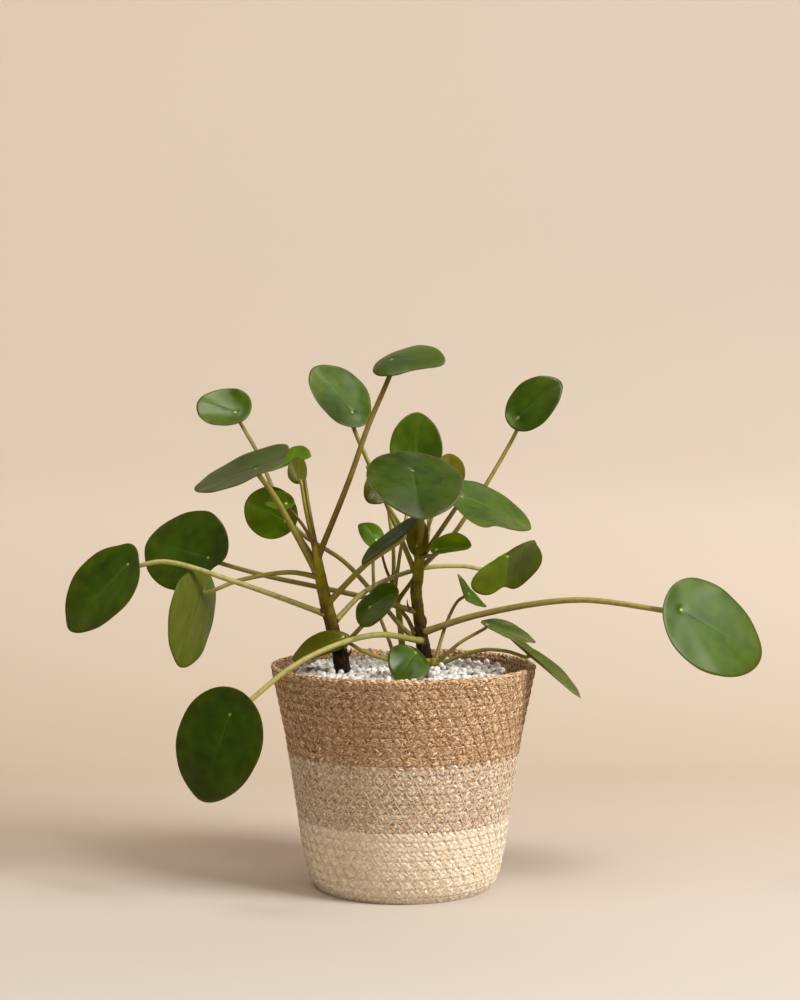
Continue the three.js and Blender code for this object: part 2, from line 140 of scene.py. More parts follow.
def joined_faces(tubes, sides):
    """The faces of several tubes whose points follow each other in one mesh."""
    starts = np.cumsum([0] + [len(points) for points in tubes])
    each = [tube_faces((len(points) - 2) // sides, sides, start) for points, start in zip(tubes, starts)]
    return [np.concatenate(kind) for kind in zip(*each)]


def with_poles(places):
    """A tube's places, ring after ring, with the first and the last given again to its two poles."""
    return np.concatenate([places, places[:1], places[-1:]])


def unit(vectors):
    """Each vector divided by its own length."""
    return vectors / np.linalg.norm(vectors, axis=-1, keepdims=True)


def tube(path, outward, across_radius, outward_radius, sides, roughness=0.0):
    """A closed tube round a path: each ring is path + outward r cos + sideways r sin of an even turn.

    outward is squared up to the path, and roughness scatters the radii point by point. No point lies
    lower than the floor. The two pole points that close the tube's ends come last.
    """
    along = unit(np.gradient(path, axis=0))
    square = unit(outward - along * np.sum(outward * along, -1, keepdims=True))
    sideways = np.cross(along, square)
    turn = np.linspace(0, 2 * np.pi, sides, endpoint=False)[None, :, None]
    wide = np.broadcast_to(across_radius, len(path))[:, None, None]
    deep = np.broadcast_to(outward_radius, len(path))[:, None, None]
    uneven = 1 + roughness * rng.standard_normal((len(path), sides, 1))
    rings = path[:, None] + uneven * (square[:, None] * deep * np.cos(turn)
                                      + sideways[:, None] * wide * np.sin(turn))
    points = np.concatenate([rings.reshape(-1, 3), path[:1], path[-1:]])
    points[:, 2] = np.maximum(points[:, 2], 0)
    return points


wall_run = np.concatenate([[0], np.cumsum(np.linalg.norm(np.diff(wall_middle, axis=0), axis=1))])
wall_margin, smooth_span = 4, 17
fine_run = np.linspace(-wall_margin, wall_run[-1] + wall_margin, 400)
slope_in = (wall_middle[1] - wall_middle[0]) / wall_run[1]
slope_out = (wall_middle[-1] - wall_middle[-2]) / (wall_run[-1] - wall_run[-2])
fine_wall = np.stack([np.interp(fine_run, wall_run, column) for column in wall_middle.T], -1)
fine_wall += np.minimum(fine_run, 0)[:, None] * slope_in
fine_wall += np.maximum(fine_run - wall_run[-1], 0)[:, None] * slope_out
smoothing = np.hanning(smooth_span) / np.hanning(smooth_span).sum()
padding = ((smooth_span // 2, smooth_span // 2), (0, 0))
padded_wall = np.pad(fine_wall, padding, mode="reflect", reflect_type="odd")
fine_wall = np.stack([np.convolve(column, smoothing, mode="valid") for column in padded_wall.T], -1)
fine_slope = unit(np.gradient(fine_wall, axis=0))


def wall_point(angle, turn_count, lift):
    """A point of the wall from its angle round from the front, how many turns up, and its lift outwards.

    The turn count is a length along the wall's middle line, which is looked up for radius, height and
    slope; the lift is along the wall's own outward direction. Returns the points and that direction.
    """
    run = turn_count * cord_pitch
    columns = (*fine_wall.T, *fine_slope.T)
    radius, height, slope_r, slope_z = (np.interp(run, fine_run, column) for column in columns)
    around = np.stack([np.sin(angle), -np.cos(angle), np.zeros_like(angle)], -1)
    upward = np.array([0.0, 0.0, 1.0])
    outward = around * slope_z[..., None] - upward * slope_r[..., None]
    place = around * radius[..., None] + upward * height[..., None] + outward * lift[..., None]
    return place, outward


def stepped(angle, turn, last=False):
    """A turn's own height, in turns: level round the front and half a turn up or down at the back."""
    rise = np.clip((np.abs(angle) - (np.pi - step_angle)) / step_angle, 0, 1)
    rise = 0.5 * rise ** 2 * (3 - 2 * rise) * np.sign(angle)
    return turn + (np.minimum(rise, 0) if last else rise)


stitch_length, stitch_reach = 8.8, 0.5 * cord_pitch
falling_share, rising_pull = 0.36, 0.35
groove_half, groove_offset = 0.55, 0.45
# The first two press the yarn in where the thread runs, and the third darkens its colour there as painted
# shade.
groove_depth, groove_squeeze, groove_painted_shade = 0.55, 0.12, 0.8
stitch_shift = falling_share * np.arange(cord_turns) + np.cumsum(rng.normal(0, 0.09, cord_turns))


def zigzag(cycles):
    """The sewing thread's way up and down: from 1 to -1 over the falling share of a cycle, then back."""
    part = cycles % 1
    falling = 1 - 2 * part / falling_share
    rising = -1 + 2 * (part - falling_share) / (1 - falling_share)
    return np.where(part < falling_share, falling, rising)


def stitch_groove(arc, across, turn):
    """How deep the thread presses into the cord at a place, 0 to 1, from both seams beside a turn.

    The steep, falling stitch pulls hardest, and its groove lies on the side of it away from the light.
    """
    depth = np.zeros_like(arc)
    for seam, level in ((turn - 1, -0.5), (turn, 0.5)):
        if 0 <= seam < cord_turns - 1:
            cycles = (arc + groove_offset) / stitch_length + stitch_shift[seam]
            falling = cycles % 1 < falling_share
            share = np.where(falling, falling_share, 1 - falling_share)
            steepness = np.hypot(1, 2 * stitch_reach / stitch_length / share)
            thread = level * cord_pitch + stitch_reach * zigzag(cycles)
            near = np.exp(-((across - thread) / steepness / groove_half) ** 2)
            depth += near * np.where(falling, 1.0, rising_pull)
    return np.minimum(depth, 1)


def plait(turns, shades):
    """The three yarns of some turns of the cord, with their places along and round the yarn.

    A yarn's centre swings across the cord as sin t and in and out as -sin 2t, a third of a plait
    apart from the next, and the thread's groove presses it in. The last turn thins out to a tail.
    shades gives each yarn's tone. The yarns' patterns are taken from places 200 mm apart, and their
    seams lie behind the yarns.
    """
    points, yarns = [], []
    for turn in turns:
        last = turn == cord_turns - 1
        girth = 2 * np.pi * np.interp(turn * cord_pitch, fine_run, fine_wall[:, 0])
        steps = int(girth / yarn_step)
        angle = np.linspace(-np.pi, np.pi, steps)
        arc = angle / (2 * np.pi) * girth
        level = stepped(angle, turn, last)
        slim = np.clip((np.pi - angle) / step_angle, 0.05, 1) if last else np.ones(steps)
        phase = rng.uniform(0, 2 * np.pi)
        slack = rng.normal(0, yarn_slack, steps // 6)
        loose = np.interp(arc, np.linspace(arc[0], arc[-1], len(slack)), slack)
        for yarn in range(3):
            beat = 2 * np.pi * (arc / plait_length + yarn / 3) + phase + loose
            across = plait_swing * np.sin(beat) * slim
            pressed = stitch_groove(arc, across, turn)
            lift = plait_lift - plait_depth * np.sin(2 * beat) - groove_depth * pressed
            lift = (lift + rng.normal(0, yarn_waver, steps)) * slim
            path, outward = wall_point(angle, level + across / cord_pitch, lift)
            swell = slim * (1 + rng.normal(0, yarn_swell, steps)) * (1 - groove_squeeze * pressed)
            points.append(tube(path, outward, yarn_wide * swell, yarn_deep * swell, yarn_sides, yarn_fuzz))
            run = np.repeat(arc + 200 * yarn, yarn_sides)
            round_yarn = np.tile((np.arange(yarn_sides) + 3) % yarn_sides, steps) * 1.5
            # Painted shade: the yarn's tone is darker where the thread presses it into a groove.
            tone = np.repeat(shades[yarn] - groove_painted_shade * pressed, yarn_sides)
            yarns.append(with_poles(np.stack([run, round_yarn, tone], -1)))
    return np.concatenate(points), joined_faces(points, yarn_sides), np.concatenate(yarns)


bundle_length, bundle_width = 3.8, 0.7
tuft_length, tuft_width = 2.3, 0.45
patch_size = 22.0


def jute(name, deep, dark, middle, light):
    """Spun jute: retted stem fibre, spun loosely, so it is matt and hairy and gives no shine.

    Single fibres are 0.05 mm thick, too fine to show, so they are drawn as bundles 0.7 mm thick that lie
    along the yarn at a slant, and as tufts 0.45 mm thick. Patches 22 mm wide are darker, and a yarn's tone
    darkens it towards deep: the tone holds the yarn's own shade and painted shade where the thread
    presses into it.
    """
    material = new_material(name)
    yarn = add_node(material, "Attribute", output="Vector", attribute_name="yarn")
    run, turn, tone = add_node(material, "SeparateXYZ", {0: yarn}).node.outputs
    slant = add_node(material, "Math", {0: run, 1: 0.45, 2: turn}, operation="MULTIPLY_ADD")
    place = add_node(material, "CombineXYZ", {0: run, 1: slant, 2: tone})
    scale = (1 / bundle_length, 1 / bundle_width, 3)
    bundle_place = add_node(material, "Mapping", {"Vector": place, "Scale": scale})
    bundles = add_node(material, "TexNoise", {
        "Vector": bundle_place, "Scale": 1, "Detail": 3, "Roughness": 0.65})
    scale = (1 / tuft_length, 1 / tuft_width, 7)
    tuft_place = add_node(material, "Mapping", {"Vector": place, "Scale": scale, "Location": (31, 17, 5)})
    tufts = add_node(material, "TexNoise", {
        "Vector": tuft_place, "Scale": 1, "Detail": 2, "Roughness": 0.6})
    strand = add_node(material, "MapRange", {"Value": bundles, "From Min": 0.42, "From Max": 0.58})
    base = add_node(material, "Mix", {0: strand, 6: dark, 7: middle})
    bright = add_node(material, "MapRange", {
        "Value": tufts, "From Min": 0.51, "From Max": 0.55, "To Max": 0.95})
    base = add_node(material, "Mix", {0: bright, 6: base, 7: light})
    gap = add_node(material, "MapRange", {
        "Value": tufts, "From Min": 0.47, "From Max": 0.42, "To Max": 0.85})
    base = add_node(material, "Mix", {0: gap, 6: base, 7: deep})
    here = add_node(material, "TexCoord", output="Object")
    patch = add_node(material, "TexNoise", {"Vector": here, "Scale": 1000 / patch_size, "Detail": 2})
    patch = add_node(material, "MapRange", {
        "Value": patch, "From Min": 0.45, "From Max": 0.75, "To Max": 0.2})
    base = add_node(material, "Mix", {0: patch, 6: base, 7: dark})
    shade = add_node(material, "MapRange", {
        "Value": tone, "From Min": 1.0, "From Max": 0.0, "To Max": 0.9})
    base = add_node(material, "Mix", {0: shade, 6: base, 7: deep})
    height = add_node(material, "Math", {0: tufts, 1: 0.8, 2: bundles}, operation="MULTIPLY_ADD")
    relief = add_node(material, "Bump", {"Height": height, "Distance": 0.0007, "Strength": 1.0})
    shader = add_node(material, "BsdfPrincipled", {"Base Color": base, "Roughness": 0.95, "Normal": relief,
                                                   "Specular IOR Level": 0.2, "Sheen Weight": 0.12})
    add_node(material, "OutputMaterial", {"Surface": shader})
    return material


tan_jute = jute("jute_natural_tan", "#4e2a10", "#a87448", "#e0ae7c", "#ffe4bc")
mixed_jute = jute("jute_tan_and_bleached", "#80542a", "#cea074", "#fbdeb6", "#fff8e6")
bleached_jute = jute("jute_bleached", "#d8b48a", "#f4dcbc", "#fff2dc", "#fff9ee")

cord_bands = (
    ("basket_cord_bleached", range(0, 8), bleached_jute, (0.9, 1.0, 0.95)),
    ("basket_cord_mixed", range(8, 15), mixed_jute, (0.7, 1.0, 0.9)),
    ("basket_cord_tan", range(15, 24), tan_jute, (0.85, 1.0, 0.93)),
)
for band_name, band_turns, band_material, yarn_shades in cord_bands:
    cord_points, cord_faces, yarn_places = plait(band_turns, yarn_shades)
    cord = put_mesh(band_name, cord_points, cord_faces, band_material, yarn=yarn_places)
    stand_for(cord, "basket")


# Sewing thread. A machine sews each turn of cord to the next with a zigzag of thin thread, which
# falls steeply to the right and rises more gently. It is cream on the lower bands and tan on the top.
thread_radius, thread_sides, steps_per_stitch = 0.28, 4, 8
thread_lift, thread_dip, thread_waver = 2.2, 1.1, 0.05


def sewing_thread(name, seams, material):
    """The zigzag of some seams: across by the zigzag, and dipping into the cord where it turns."""
    points, yarns = [], []
    for seam in seams:
        girth = 2 * np.pi * np.interp((seam + 0.5) * cord_pitch, fine_run, fine_wall[:, 0])
        steps = int(girth / stitch_length * steps_per_stitch)
        angle = np.linspace(-np.pi, np.pi, steps)
        arc = angle / (2 * np.pi) * girth
        swing = zigzag(arc / stitch_length + stitch_shift[seam])
        level = stepped(angle, seam + 0.5) + stitch_reach * swing / cord_pitch
        lift = thread_lift - thread_dip * np.abs(swing) ** 7 + rng.normal(0, thread_waver, steps)
        path, outward = wall_point(angle, level, lift)
        points.append(tube(path, outward, thread_radius, thread_radius, thread_sides))
        run = np.repeat(arc, thread_sides)
        round_thread = np.tile(np.arange(thread_sides), steps) * 0.6
        yarns.append(with_poles(np.stack([run, round_thread, np.ones(len(run))], -1)))
    thread = put_mesh(name, np.concatenate(points), joined_faces(points, thread_sides), material,
                      yarn=np.concatenate(yarns))
    stand_for(thread, "basket")


tan_thread = jute("thread_tan", "#8c6238", "#b98f64", "#dcb488", "#f4d6ae")
cream_thread = jute("thread_cream", "#ecd8b4", "#fbeed2", "#fff8e8", "#fffdf6")
sewing_thread("basket_thread_cream", range(0, 14), cream_thread)
sewing_thread("basket_thread_tan", range(14, 23), tan_thread)


# Heart of the cord and floor of the basket. Each cord is plaited round a filling of loose fibre,
# which closes the wall behind the yarns, and the floor is the same cord wound flat from its middle.
heart_half, heart_ripple = 1.45, 0.35
floor_reach, floor_low, floor_high, floor_ribs = 59.0, 1.1, 4.9, 0.9
round_sides = 96


def turned_faces(count, sides):
    """Quads between the rings of a closed profile turned about the vertical, first joined to last."""
    ring, side = np.meshgrid(np.arange(count), np.arange(sides), indexing="ij")
    above = (ring + 1) % count
    after = (side + 1) % sides
    return np.stack([ring * sides + side, ring * sides + after, above * sides + after,
                     above * sides + side], -1).reshape(-1, 4)


def turned_points(profile, sides, centre_x=0.0):
    """The points of a profile of radius and height, turned about a vertical through centre_x."""
    angle = np.linspace(0, 2 * np.pi, sides, endpoint=False)
    radius, height = profile[:, 0, None], profile[:, 1, None]
    place = np.stack([centre_x + radius * np.cos(angle), radius * np.sin(angle),
                      np.broadcast_to(height, (len(profile), sides))], -1)
    return place.reshape(-1, 3)


heart_line = np.linspace(0.1, cord_turns - 1.0, cord_turns * 6) * cord_pitch
heart_middle = np.stack([np.interp(heart_line, fine_run, column) for column in fine_wall.T], -1)
heart_out = np.stack([np.interp(heart_line, fine_run, fine_slope[:, 1]),
                      -np.interp(heart_line, fine_run, fine_slope[:, 0])], -1)
heart_bulge = heart_half + heart_ripple * np.cos(2 * np.pi * heart_line / cord_pitch)
heart_bulge = heart_bulge[:, None] * heart_out
band_starts = [band_turns[0] - 0.5 for _, band_turns, _, _ in cord_bands] + [cord_turns]
turns_up = heart_line / cord_pitch
for i, (band_name, _, band_material, _) in enumerate(cord_bands):
    inside = (turns_up >= band_starts[i] - 0.2) & (turns_up <= band_starts[i + 1])
    ring = np.concatenate([heart_middle[inside] + heart_bulge[inside],
                           (heart_middle[inside] - heart_bulge[inside])[::-1]])
    around = np.tile(np.arange(round_sides), len(ring)) * 5.0
    upward = np.repeat(np.linspace(0, 60, len(ring)), round_sides)
    filling = put_mesh(band_name.replace("cord", "filling"), turned_points(ring, round_sides),
                       [turned_faces(len(ring), round_sides)], band_material,
                       yarn=np.stack([around, upward, np.full(len(around), 0.7)], -1))
    stand_for(filling, "basket")

floor_radius = np.linspace(0.01, floor_reach, 90)
coil_relief = floor_ribs * np.abs(np.cos(np.pi * floor_radius / cord_pitch))
floor_under = np.stack([floor_radius, floor_low - coil_relief], -1)
floor_upper = np.stack([floor_radius, floor_high + coil_relief], -1)[::-1]
floor_profile = np.concatenate([floor_under, floor_upper])
floor_points = turned_points(floor_profile, round_sides)
coil_floor = put_mesh("basket_floor", floor_points, [turned_faces(len(floor_profile), round_sides)],
                      bleached_jute, yarn=floor_points * (1, 1, 0) + (0, 0, 0.95))
stand_for(coil_floor, "basket")


# Nursery pot. A thin dark pot of moulded polypropylene with a rolled lip, which stands on the
# basket's floor. Only its lip and the top of its wall show, in the gap round the gravel, so the
# solid's own shape stays.
dust_patch, handled_grain = 11, 1.1


def refinish(node_name, material):
    """A node of the frame keeps its shape and takes a new finish."""
    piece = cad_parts[node_name]
    piece.data.materials.clear()
    piece.data.materials.append(material)


# Moulded polypropylene: pressed in a polished mould and then handled, so it has a dull satin shine, with
# dust in patches 11 mm wide and a fine grain 1.1 mm wide, which is drawn coarse enough to show.
plastic = new_material("moulded_polypropylene")
plastic_here = add_node(plastic, "TexCoord", output="Object")
plastic_dust = add_node(plastic, "TexNoise", {
    "Vector": plastic_here, "Scale": 1000 / dust_patch, "Detail": 4})
plastic_dust = add_node(plastic, "MapRange", {"Value": plastic_dust, "From Min": 0.45, "From Max": 0.8})
plastic_colour = add_node(plastic, "Mix", {0: plastic_dust, 6: "#2c241e", 7: "#5a4c3e"})
plastic_grain = add_node(plastic, "TexNoise", {
    "Vector": plastic_here, "Scale": 1000 / handled_grain, "Detail": 2})
plastic_relief = add_node(plastic, "Bump", {"Height": plastic_grain, "Distance": 0.00008})
plastic_shader = add_node(plastic, "BsdfPrincipled", {
    "Base Color": plastic_colour, "Roughness": 0.55, "Normal": plastic_relief})
add_node(plastic, "OutputMaterial", {"Surface": plastic_shader})
refinish("nursery_pot", plastic)


# Potting soil. Damp, dark peat that fills the pot up to the gravel. The gravel hides all of it, so
# the solid's own shape stays and takes a crumbly finish.
def crumbly(name, crumb, detail, fineness, dark, light, relief, roughness):
    """A matt finish of crumbs so many millimetres wide, from dark to light, with a relief in metres."""
    material = new_material(name)
    here = add_node(material, "TexCoord", output="Object")
    crumbs = add_node(material, "TexNoise", {
        "Vector": here, "Scale": 1000 / crumb, "Detail": detail, "Roughness": fineness})
    colour = add_node(material, "Mix", {0: crumbs, 6: dark, 7: light})
    bump = add_node(material, "Bump", {"Height": crumbs, "Distance": relief})
    shader = add_node(material, "BsdfPrincipled", {
        "Base Color": colour, "Roughness": roughness, "Normal": bump})
    add_node(material, "OutputMaterial", {"Surface": shader})
    return material


# Damp peat: milled moss peat in crumbs 3 mm wide, dark where wet and brown where dry, with no shine.
peat = crumbly("damp_peat", crumb=3, detail=5, fineness=0.7, dark="#1d130b", light="#4f3a28",
               relief=0.002, roughness=1.0)
refinish("potting_soil", peat)


# Pumice. Rounded, chalk-white grains of 4 to 5 mm lie loose on the soil and hide it. Each grain is
# its own small body, and a dark grey bed of crushed grains closes the gaps below them; its darkness is
# painted shade for the gaps.
pot_centre_x = -2.0
grain_spacing, grain_shake = 4.25, 0.55
grain_radius = 2.35
loose_grains, loose_lift = 150, 1.9
gravel_radius = 69.0
gravel_crown, gravel_edge = 146.6, 144.9
pore_size = 0.8
clearance = 1.2

# What the grains leave free, one round each stem's foot and one bare spot, as x, y and radius.
free_spots = np.array([[-41, -16, 6.2], [15, 20, 6.2], [0, 34, 2.8], [20, 8, 4.2], [-5, 7, 2.2],
                       [27, -3, 4.5]])


def cube_ball():
    """A ball of 26 points and 24 faces: the points of a cube with each edge halved, at equal distance."""
    steps = np.array([-1.0, 0.0, 1.0])
    cells = np.array([[x, y, z] for x in steps for y in steps for z in steps if (x, y, z) != (0, 0, 0)])
    number = {tuple(cell): i for i, cell in enumerate(cells)}
    faces = []
    for axis in range(3):
        for side in (-1.0, 1.0):
            for a, b in ((-1.0, -1.0), (-1.0, 0.0), (0.0, -1.0), (0.0, 0.0)):
                corners = []
                for da, db in ((0, 0), (1, 0), (1, 1), (0, 1))[::int(side)]:
                    cell = [0.0, 0.0, 0.0]
                    cell[axis] = side
                    cell[(axis + 1) % 3] = a + da
                    cell[(axis + 2) % 3] = b + db
                    corners.append(number[tuple(cell)])
                faces.append(corners)
    return unit(cells), np.array(faces)


def gravel_places():
    """Grain centres: a grid of triangles shaken at random and a loose upper layer, clear of the stems."""
    rows = np.arange(-gravel_radius, gravel_radius, grain_spacing * 0.866)
    columns = np.arange(-gravel_radius, gravel_radius, grain_spacing)
    y, x = np.meshgrid(rows, columns, indexing="ij")
    x = x + grain_spacing * 0.5 * (np.arange(len(rows)) % 2)[:, None]
    flat = np.stack([x, y], -1).reshape(-1, 2) + rng.normal(0, grain_shake, (x.size, 2))
    extra = rng.uniform(-gravel_radius, gravel_radius, (loose_grains, 2))
    flat = np.concatenate([flat, extra])
    reach = np.hypot(*flat.T) / gravel_radius
    height = gravel_crown + (gravel_edge - gravel_crown) * reach ** 2
    height += rng.normal(0, grain_shake, len(flat))
    height[-loose_grains:] += loose_lift
    flat = flat + (pot_centre_x, 0)
    from_spots = np.hypot(*(flat[:, None] - free_spots[None, :, :2]).transpose(2, 0, 1))
    clear = np.all(from_spots > free_spots[None, :, 2] + clearance, axis=1)
    kept = clear & (reach < 1)
    return np.concatenate([flat, height[:, None]], -1)[kept]


def gravel(name, material):
    """Every grain is the ball stretched by its own three radii, turned at random and set on its place."""
    ball, ball_faces = cube_ball()
    places = gravel_places()
    count = len(places)
    radii = grain_radius * rng.uniform(0.75, 1.1, (count, 1, 3)) * rng.uniform(0.8, 1.15, (count, 1, 1))
    rough = 1 + rng.normal(0, 0.06, (count, len(ball), 1))
    axes = unit(rng.normal(0, 1, (count, 3)))
    second = unit(np.cross(axes, unit(rng.normal(0, 1, (count, 3)))))
    turn = np.stack([axes, second, np.cross(axes, second)], 1)
    points = (ball[None] * radii * rough) @ turn + places[:, None]
    faces = ball_faces[None] + (np.arange(count) * len(ball))[:, None, None]
    tone = np.repeat(rng.uniform(0, 1, (count, 3)), len(ball), axis=0)
    grains = put_mesh(name, points.reshape(-1, 3), [faces.reshape(-1, 4)], material, tone=tone)
    stand_for(grains, "pumice_layer")


# Tumbled pumice: foamed volcanic glass, broken and sieved, so it is chalk-white and dead matt. Its
# pores are about 0.1 mm wide, too fine to show, and are drawn as pits 0.8 mm wide, painted grey as the
# shade inside them. Some grains are grey and a few are stained brown by the soil.
pumice = new_material("pumice_stone")
pumice_here = add_node(pumice, "TexCoord", output="Object")
pumice_own = add_node(pumice, "Attribute", output="Vector", attribute_name="tone")
pumice_tone, pumice_warmth, _ = add_node(pumice, "SeparateXYZ", {0: pumice_own}).node.outputs
pumice_pits = add_node(pumice, "TexNoise", {
    "Vector": pumice_here, "Scale": 1000 / pore_size, "Detail": 4, "Roughness": 0.7})
pumice_colour = add_node(pumice, "Mix", {0: pumice_tone, 6: "#c6c2bd", 7: "#fdfcfa"})
pumice_dirt = add_node(pumice, "MapRange", {
    "Value": pumice_warmth, "From Min": 0.93, "From Max": 0.96, "To Max": 0.8})
pumice_colour = add_node(pumice, "Mix", {0: pumice_dirt, 6: pumice_colour, 7: "#4c4034"})
# Painted shade: the pits are a darker grey.
pumice_pit_shade = add_node(pumice, "MapRange", {"Value": pumice_pits, "From Min": 0.5, "From Max": 0.25})
pumice_colour = add_node(pumice, "Mix", {0: pumice_pit_shade, 6: pumice_colour, 7: "#8f8a84"})
pumice_relief = add_node(pumice, "Bump", {"Height": pumice_pits, "Distance": 0.00035})
pumice_shader = add_node(pumice, "BsdfPrincipled", {"Base Color": pumice_colour, "Roughness": 0.95,
                                                    "Normal": pumice_relief})
add_node(pumice, "OutputMaterial", {"Surface": pumice_shader})
gravel("pumice_grains", pumice)

bed_reach, bed_below_grains = 69.3, 2.4
bed_foot, bed_foot_reach = 136.0, 68.2
bed_radius = np.linspace(0.01, bed_reach, 40)
bed_top = gravel_crown - bed_below_grains + (gravel_edge - gravel_crown) * (bed_radius / bed_reach) ** 2
bed_profile = np.concatenate([np.stack([bed_radius, bed_top], -1)[::-1],
                              [[0.01, bed_foot], [bed_foot_reach, bed_foot]]])

# Crushed pumice: the fine grit of the same stone, in crumbs 2.4 mm wide, painted dark as the shade
# between the grains above it.
gap_shade_grit = crumbly("crushed_pumice_painted_shade", crumb=2.4, detail=4, fineness=0.7, dark="#2e2822", light="#7c766e",
               relief=0.001, roughness=1.0)
bed = put_mesh("pumice_bed", turned_points(bed_profile[::-1], round_sides, pot_centre_x),
               [turned_faces(len(bed_profile), round_sides)], gap_shade_grit)
stand_for(bed, "pumice_layer")


# Stems. Two woody stems lean out of the pot, olive and smooth near their tips and brown, ringed and
# cracked towards the gravel, with three thin green shoots between them. A ring marks each old leaf.
# route is a stem's middle line, its radii are spread evenly along it, and scars are its rings' heights.
stems = {
    "stem_left": {
        "route": [[-41, -16, 122], [-41, -16, 145], [-43, -17, 162], [-47, -18, 175], [-52, -20, 195],
                  [-55, -21, 209], [-57, -22, 222], [-59.5, -22, 234]],
        "radii": [4.6, 5.2, 5.6, 5.2, 4.5, 4.4, 4.4, 4.2, 3.8, 3.0, 1.4],
        "scars": [149, 156, 166, 177, 185, 194, 203, 212], "woody": True,
    },
    "stem_right": {
        "route": [[15, 20, 122], [15, 20, 145], [14, 20, 157], [12, 20, 171], [10, 19, 185], [8.6, 18, 199],
                  [10, 17, 209], [10.6, 16, 220], [11.3, 15, 234]],
        "radii": [4.6, 5.2, 5.4, 4.8, 4.2, 4.0, 4.0, 4.0, 3.8, 3.0, 1.2],
        "scars": [152, 161, 169, 178, 188, 197, 205, 214], "woody": True,
    },
    "stem_middle": {
        "route": [[0, 34, 128], [-0.5, 34, 147], [-1.7, 34, 168], [-4.5, 34, 190], [-8, 32, 205]],
        "radii": [2.2, 2.4, 2.4, 2.2, 2.1, 2.0, 1.0], "scars": [160, 178, 193], "woody": False,
    },
    "stem_crown": {
        "route": [[20, 8, 128], [20, 8, 140], [20, 8, 153]],
        "radii": [2.4, 3.0, 3.0, 2.4], "scars": [], "woody": False,
    },
    "stem_sprout": {
        "route": [[-5, 7, 132], [-5, 7, 142], [-5.5, 7, 150]],
        "radii": [1.6, 1.7, 1.5], "scars": [], "woody": False,
    },
}
scar_half, scar_swell = 1.3, 0.05
bark_starts, bark_fade = 175, 30


def smooth_route(points, count):
    """Points at even steps on the smooth curve through a route.

    It is the centripetal curve: each span is a cubic whose end slopes come from the neighbouring
    points, weighted by the square roots of their distances. Its length is then cut in equal steps.
    """
    control = np.asarray(points, float)
    control = np.concatenate([[2 * control[0] - control[1]], control, [2 * control[-1] - control[-2]]])
    p0, p1, p2, p3 = control[:-3, None], control[1:-2, None], control[2:-1, None], control[3:, None]
    d0, d1, d2 = (np.sqrt(np.linalg.norm(b - a, axis=-1, keepdims=True)) for a, b in
                  ((p0, p1), (p1, p2), (p2, p3)))
    start = d1 * ((p1 - p0) / d0 - (p2 - p0) / (d0 + d1) + (p2 - p1) / d1)
    end = d1 * ((p2 - p1) / d1 - (p3 - p1) / (d1 + d2) + (p3 - p2) / d2)
    t = np.linspace(0, 1, 30, endpoint=False)[None, :, None]
    curve = (p1 + start * t + (-3 * p1 + 3 * p2 - 2 * start - end) * t ** 2
             + (2 * p1 - 2 * p2 + start + end) * t ** 3).reshape(-1, 3)
    curve = np.concatenate([curve, control[-2:-1]])
    run = np.concatenate([[0], np.cumsum(np.linalg.norm(np.diff(curve, axis=0), axis=1))])
    even = np.linspace(0, run[-1], count)
    return np.stack([np.interp(even, run, curve[:, i]) for i in range(3)], -1)


def stem_surface(stem, rings, sides):
    """A stem's points: rings of radius (1 + swell at each scar + ridges that wind up it + rough bark)."""
    path = smooth_route(stem["route"], rings)
    radius = np.interp(np.linspace(0, 1, rings), np.linspace(0, 1, len(stem["radii"])), stem["radii"])
    scars = np.array(stem["scars"], float)
    height = path[:, 2]
    swell = np.exp(-((height[:, None] - scars) / scar_half) ** 2).sum(1)
    turn = np.linspace(0, 2 * np.pi, sides, endpoint=False)
    bark = np.clip((bark_starts - height) / bark_fade, 0, 1)[:, None] * stem["woody"]
    ridges = (0.10 * np.sin(5 * turn + 0.12 * height[:, None])
              + 0.07 * np.sin(9 * turn - 0.31 * height[:, None]))
    grain = rng.normal(0, 0.05, (rings, sides))
    uneven = scar_swell * swell[:, None] + ridges * (0.25 + bark) * 0.6 + grain * bark
    outline = radius[:, None] * (1 + uneven)
    along = unit(np.gradient(path, axis=0))
    side = unit(np.cross(along, [0.0, 1.0, 0.0]))
    front = np.cross(side, along)
    rings_at = path[:, None] + outline[..., None] * (side[:, None] * np.cos(turn)[None, :, None]
                                                     + front[:, None] * np.sin(turn)[None, :, None])
    points = np.concatenate([rings_at.reshape(-1, 3), path[:1], path[-1:]])
    own = np.stack([np.repeat(swell, sides), np.tile(turn, rings), np.repeat(height, sides)], -1)
    return points, tube_faces(rings, sides), with_poles(own)


streak_width, streak_length, blotch_size = 2.2, 10.0, 8.0


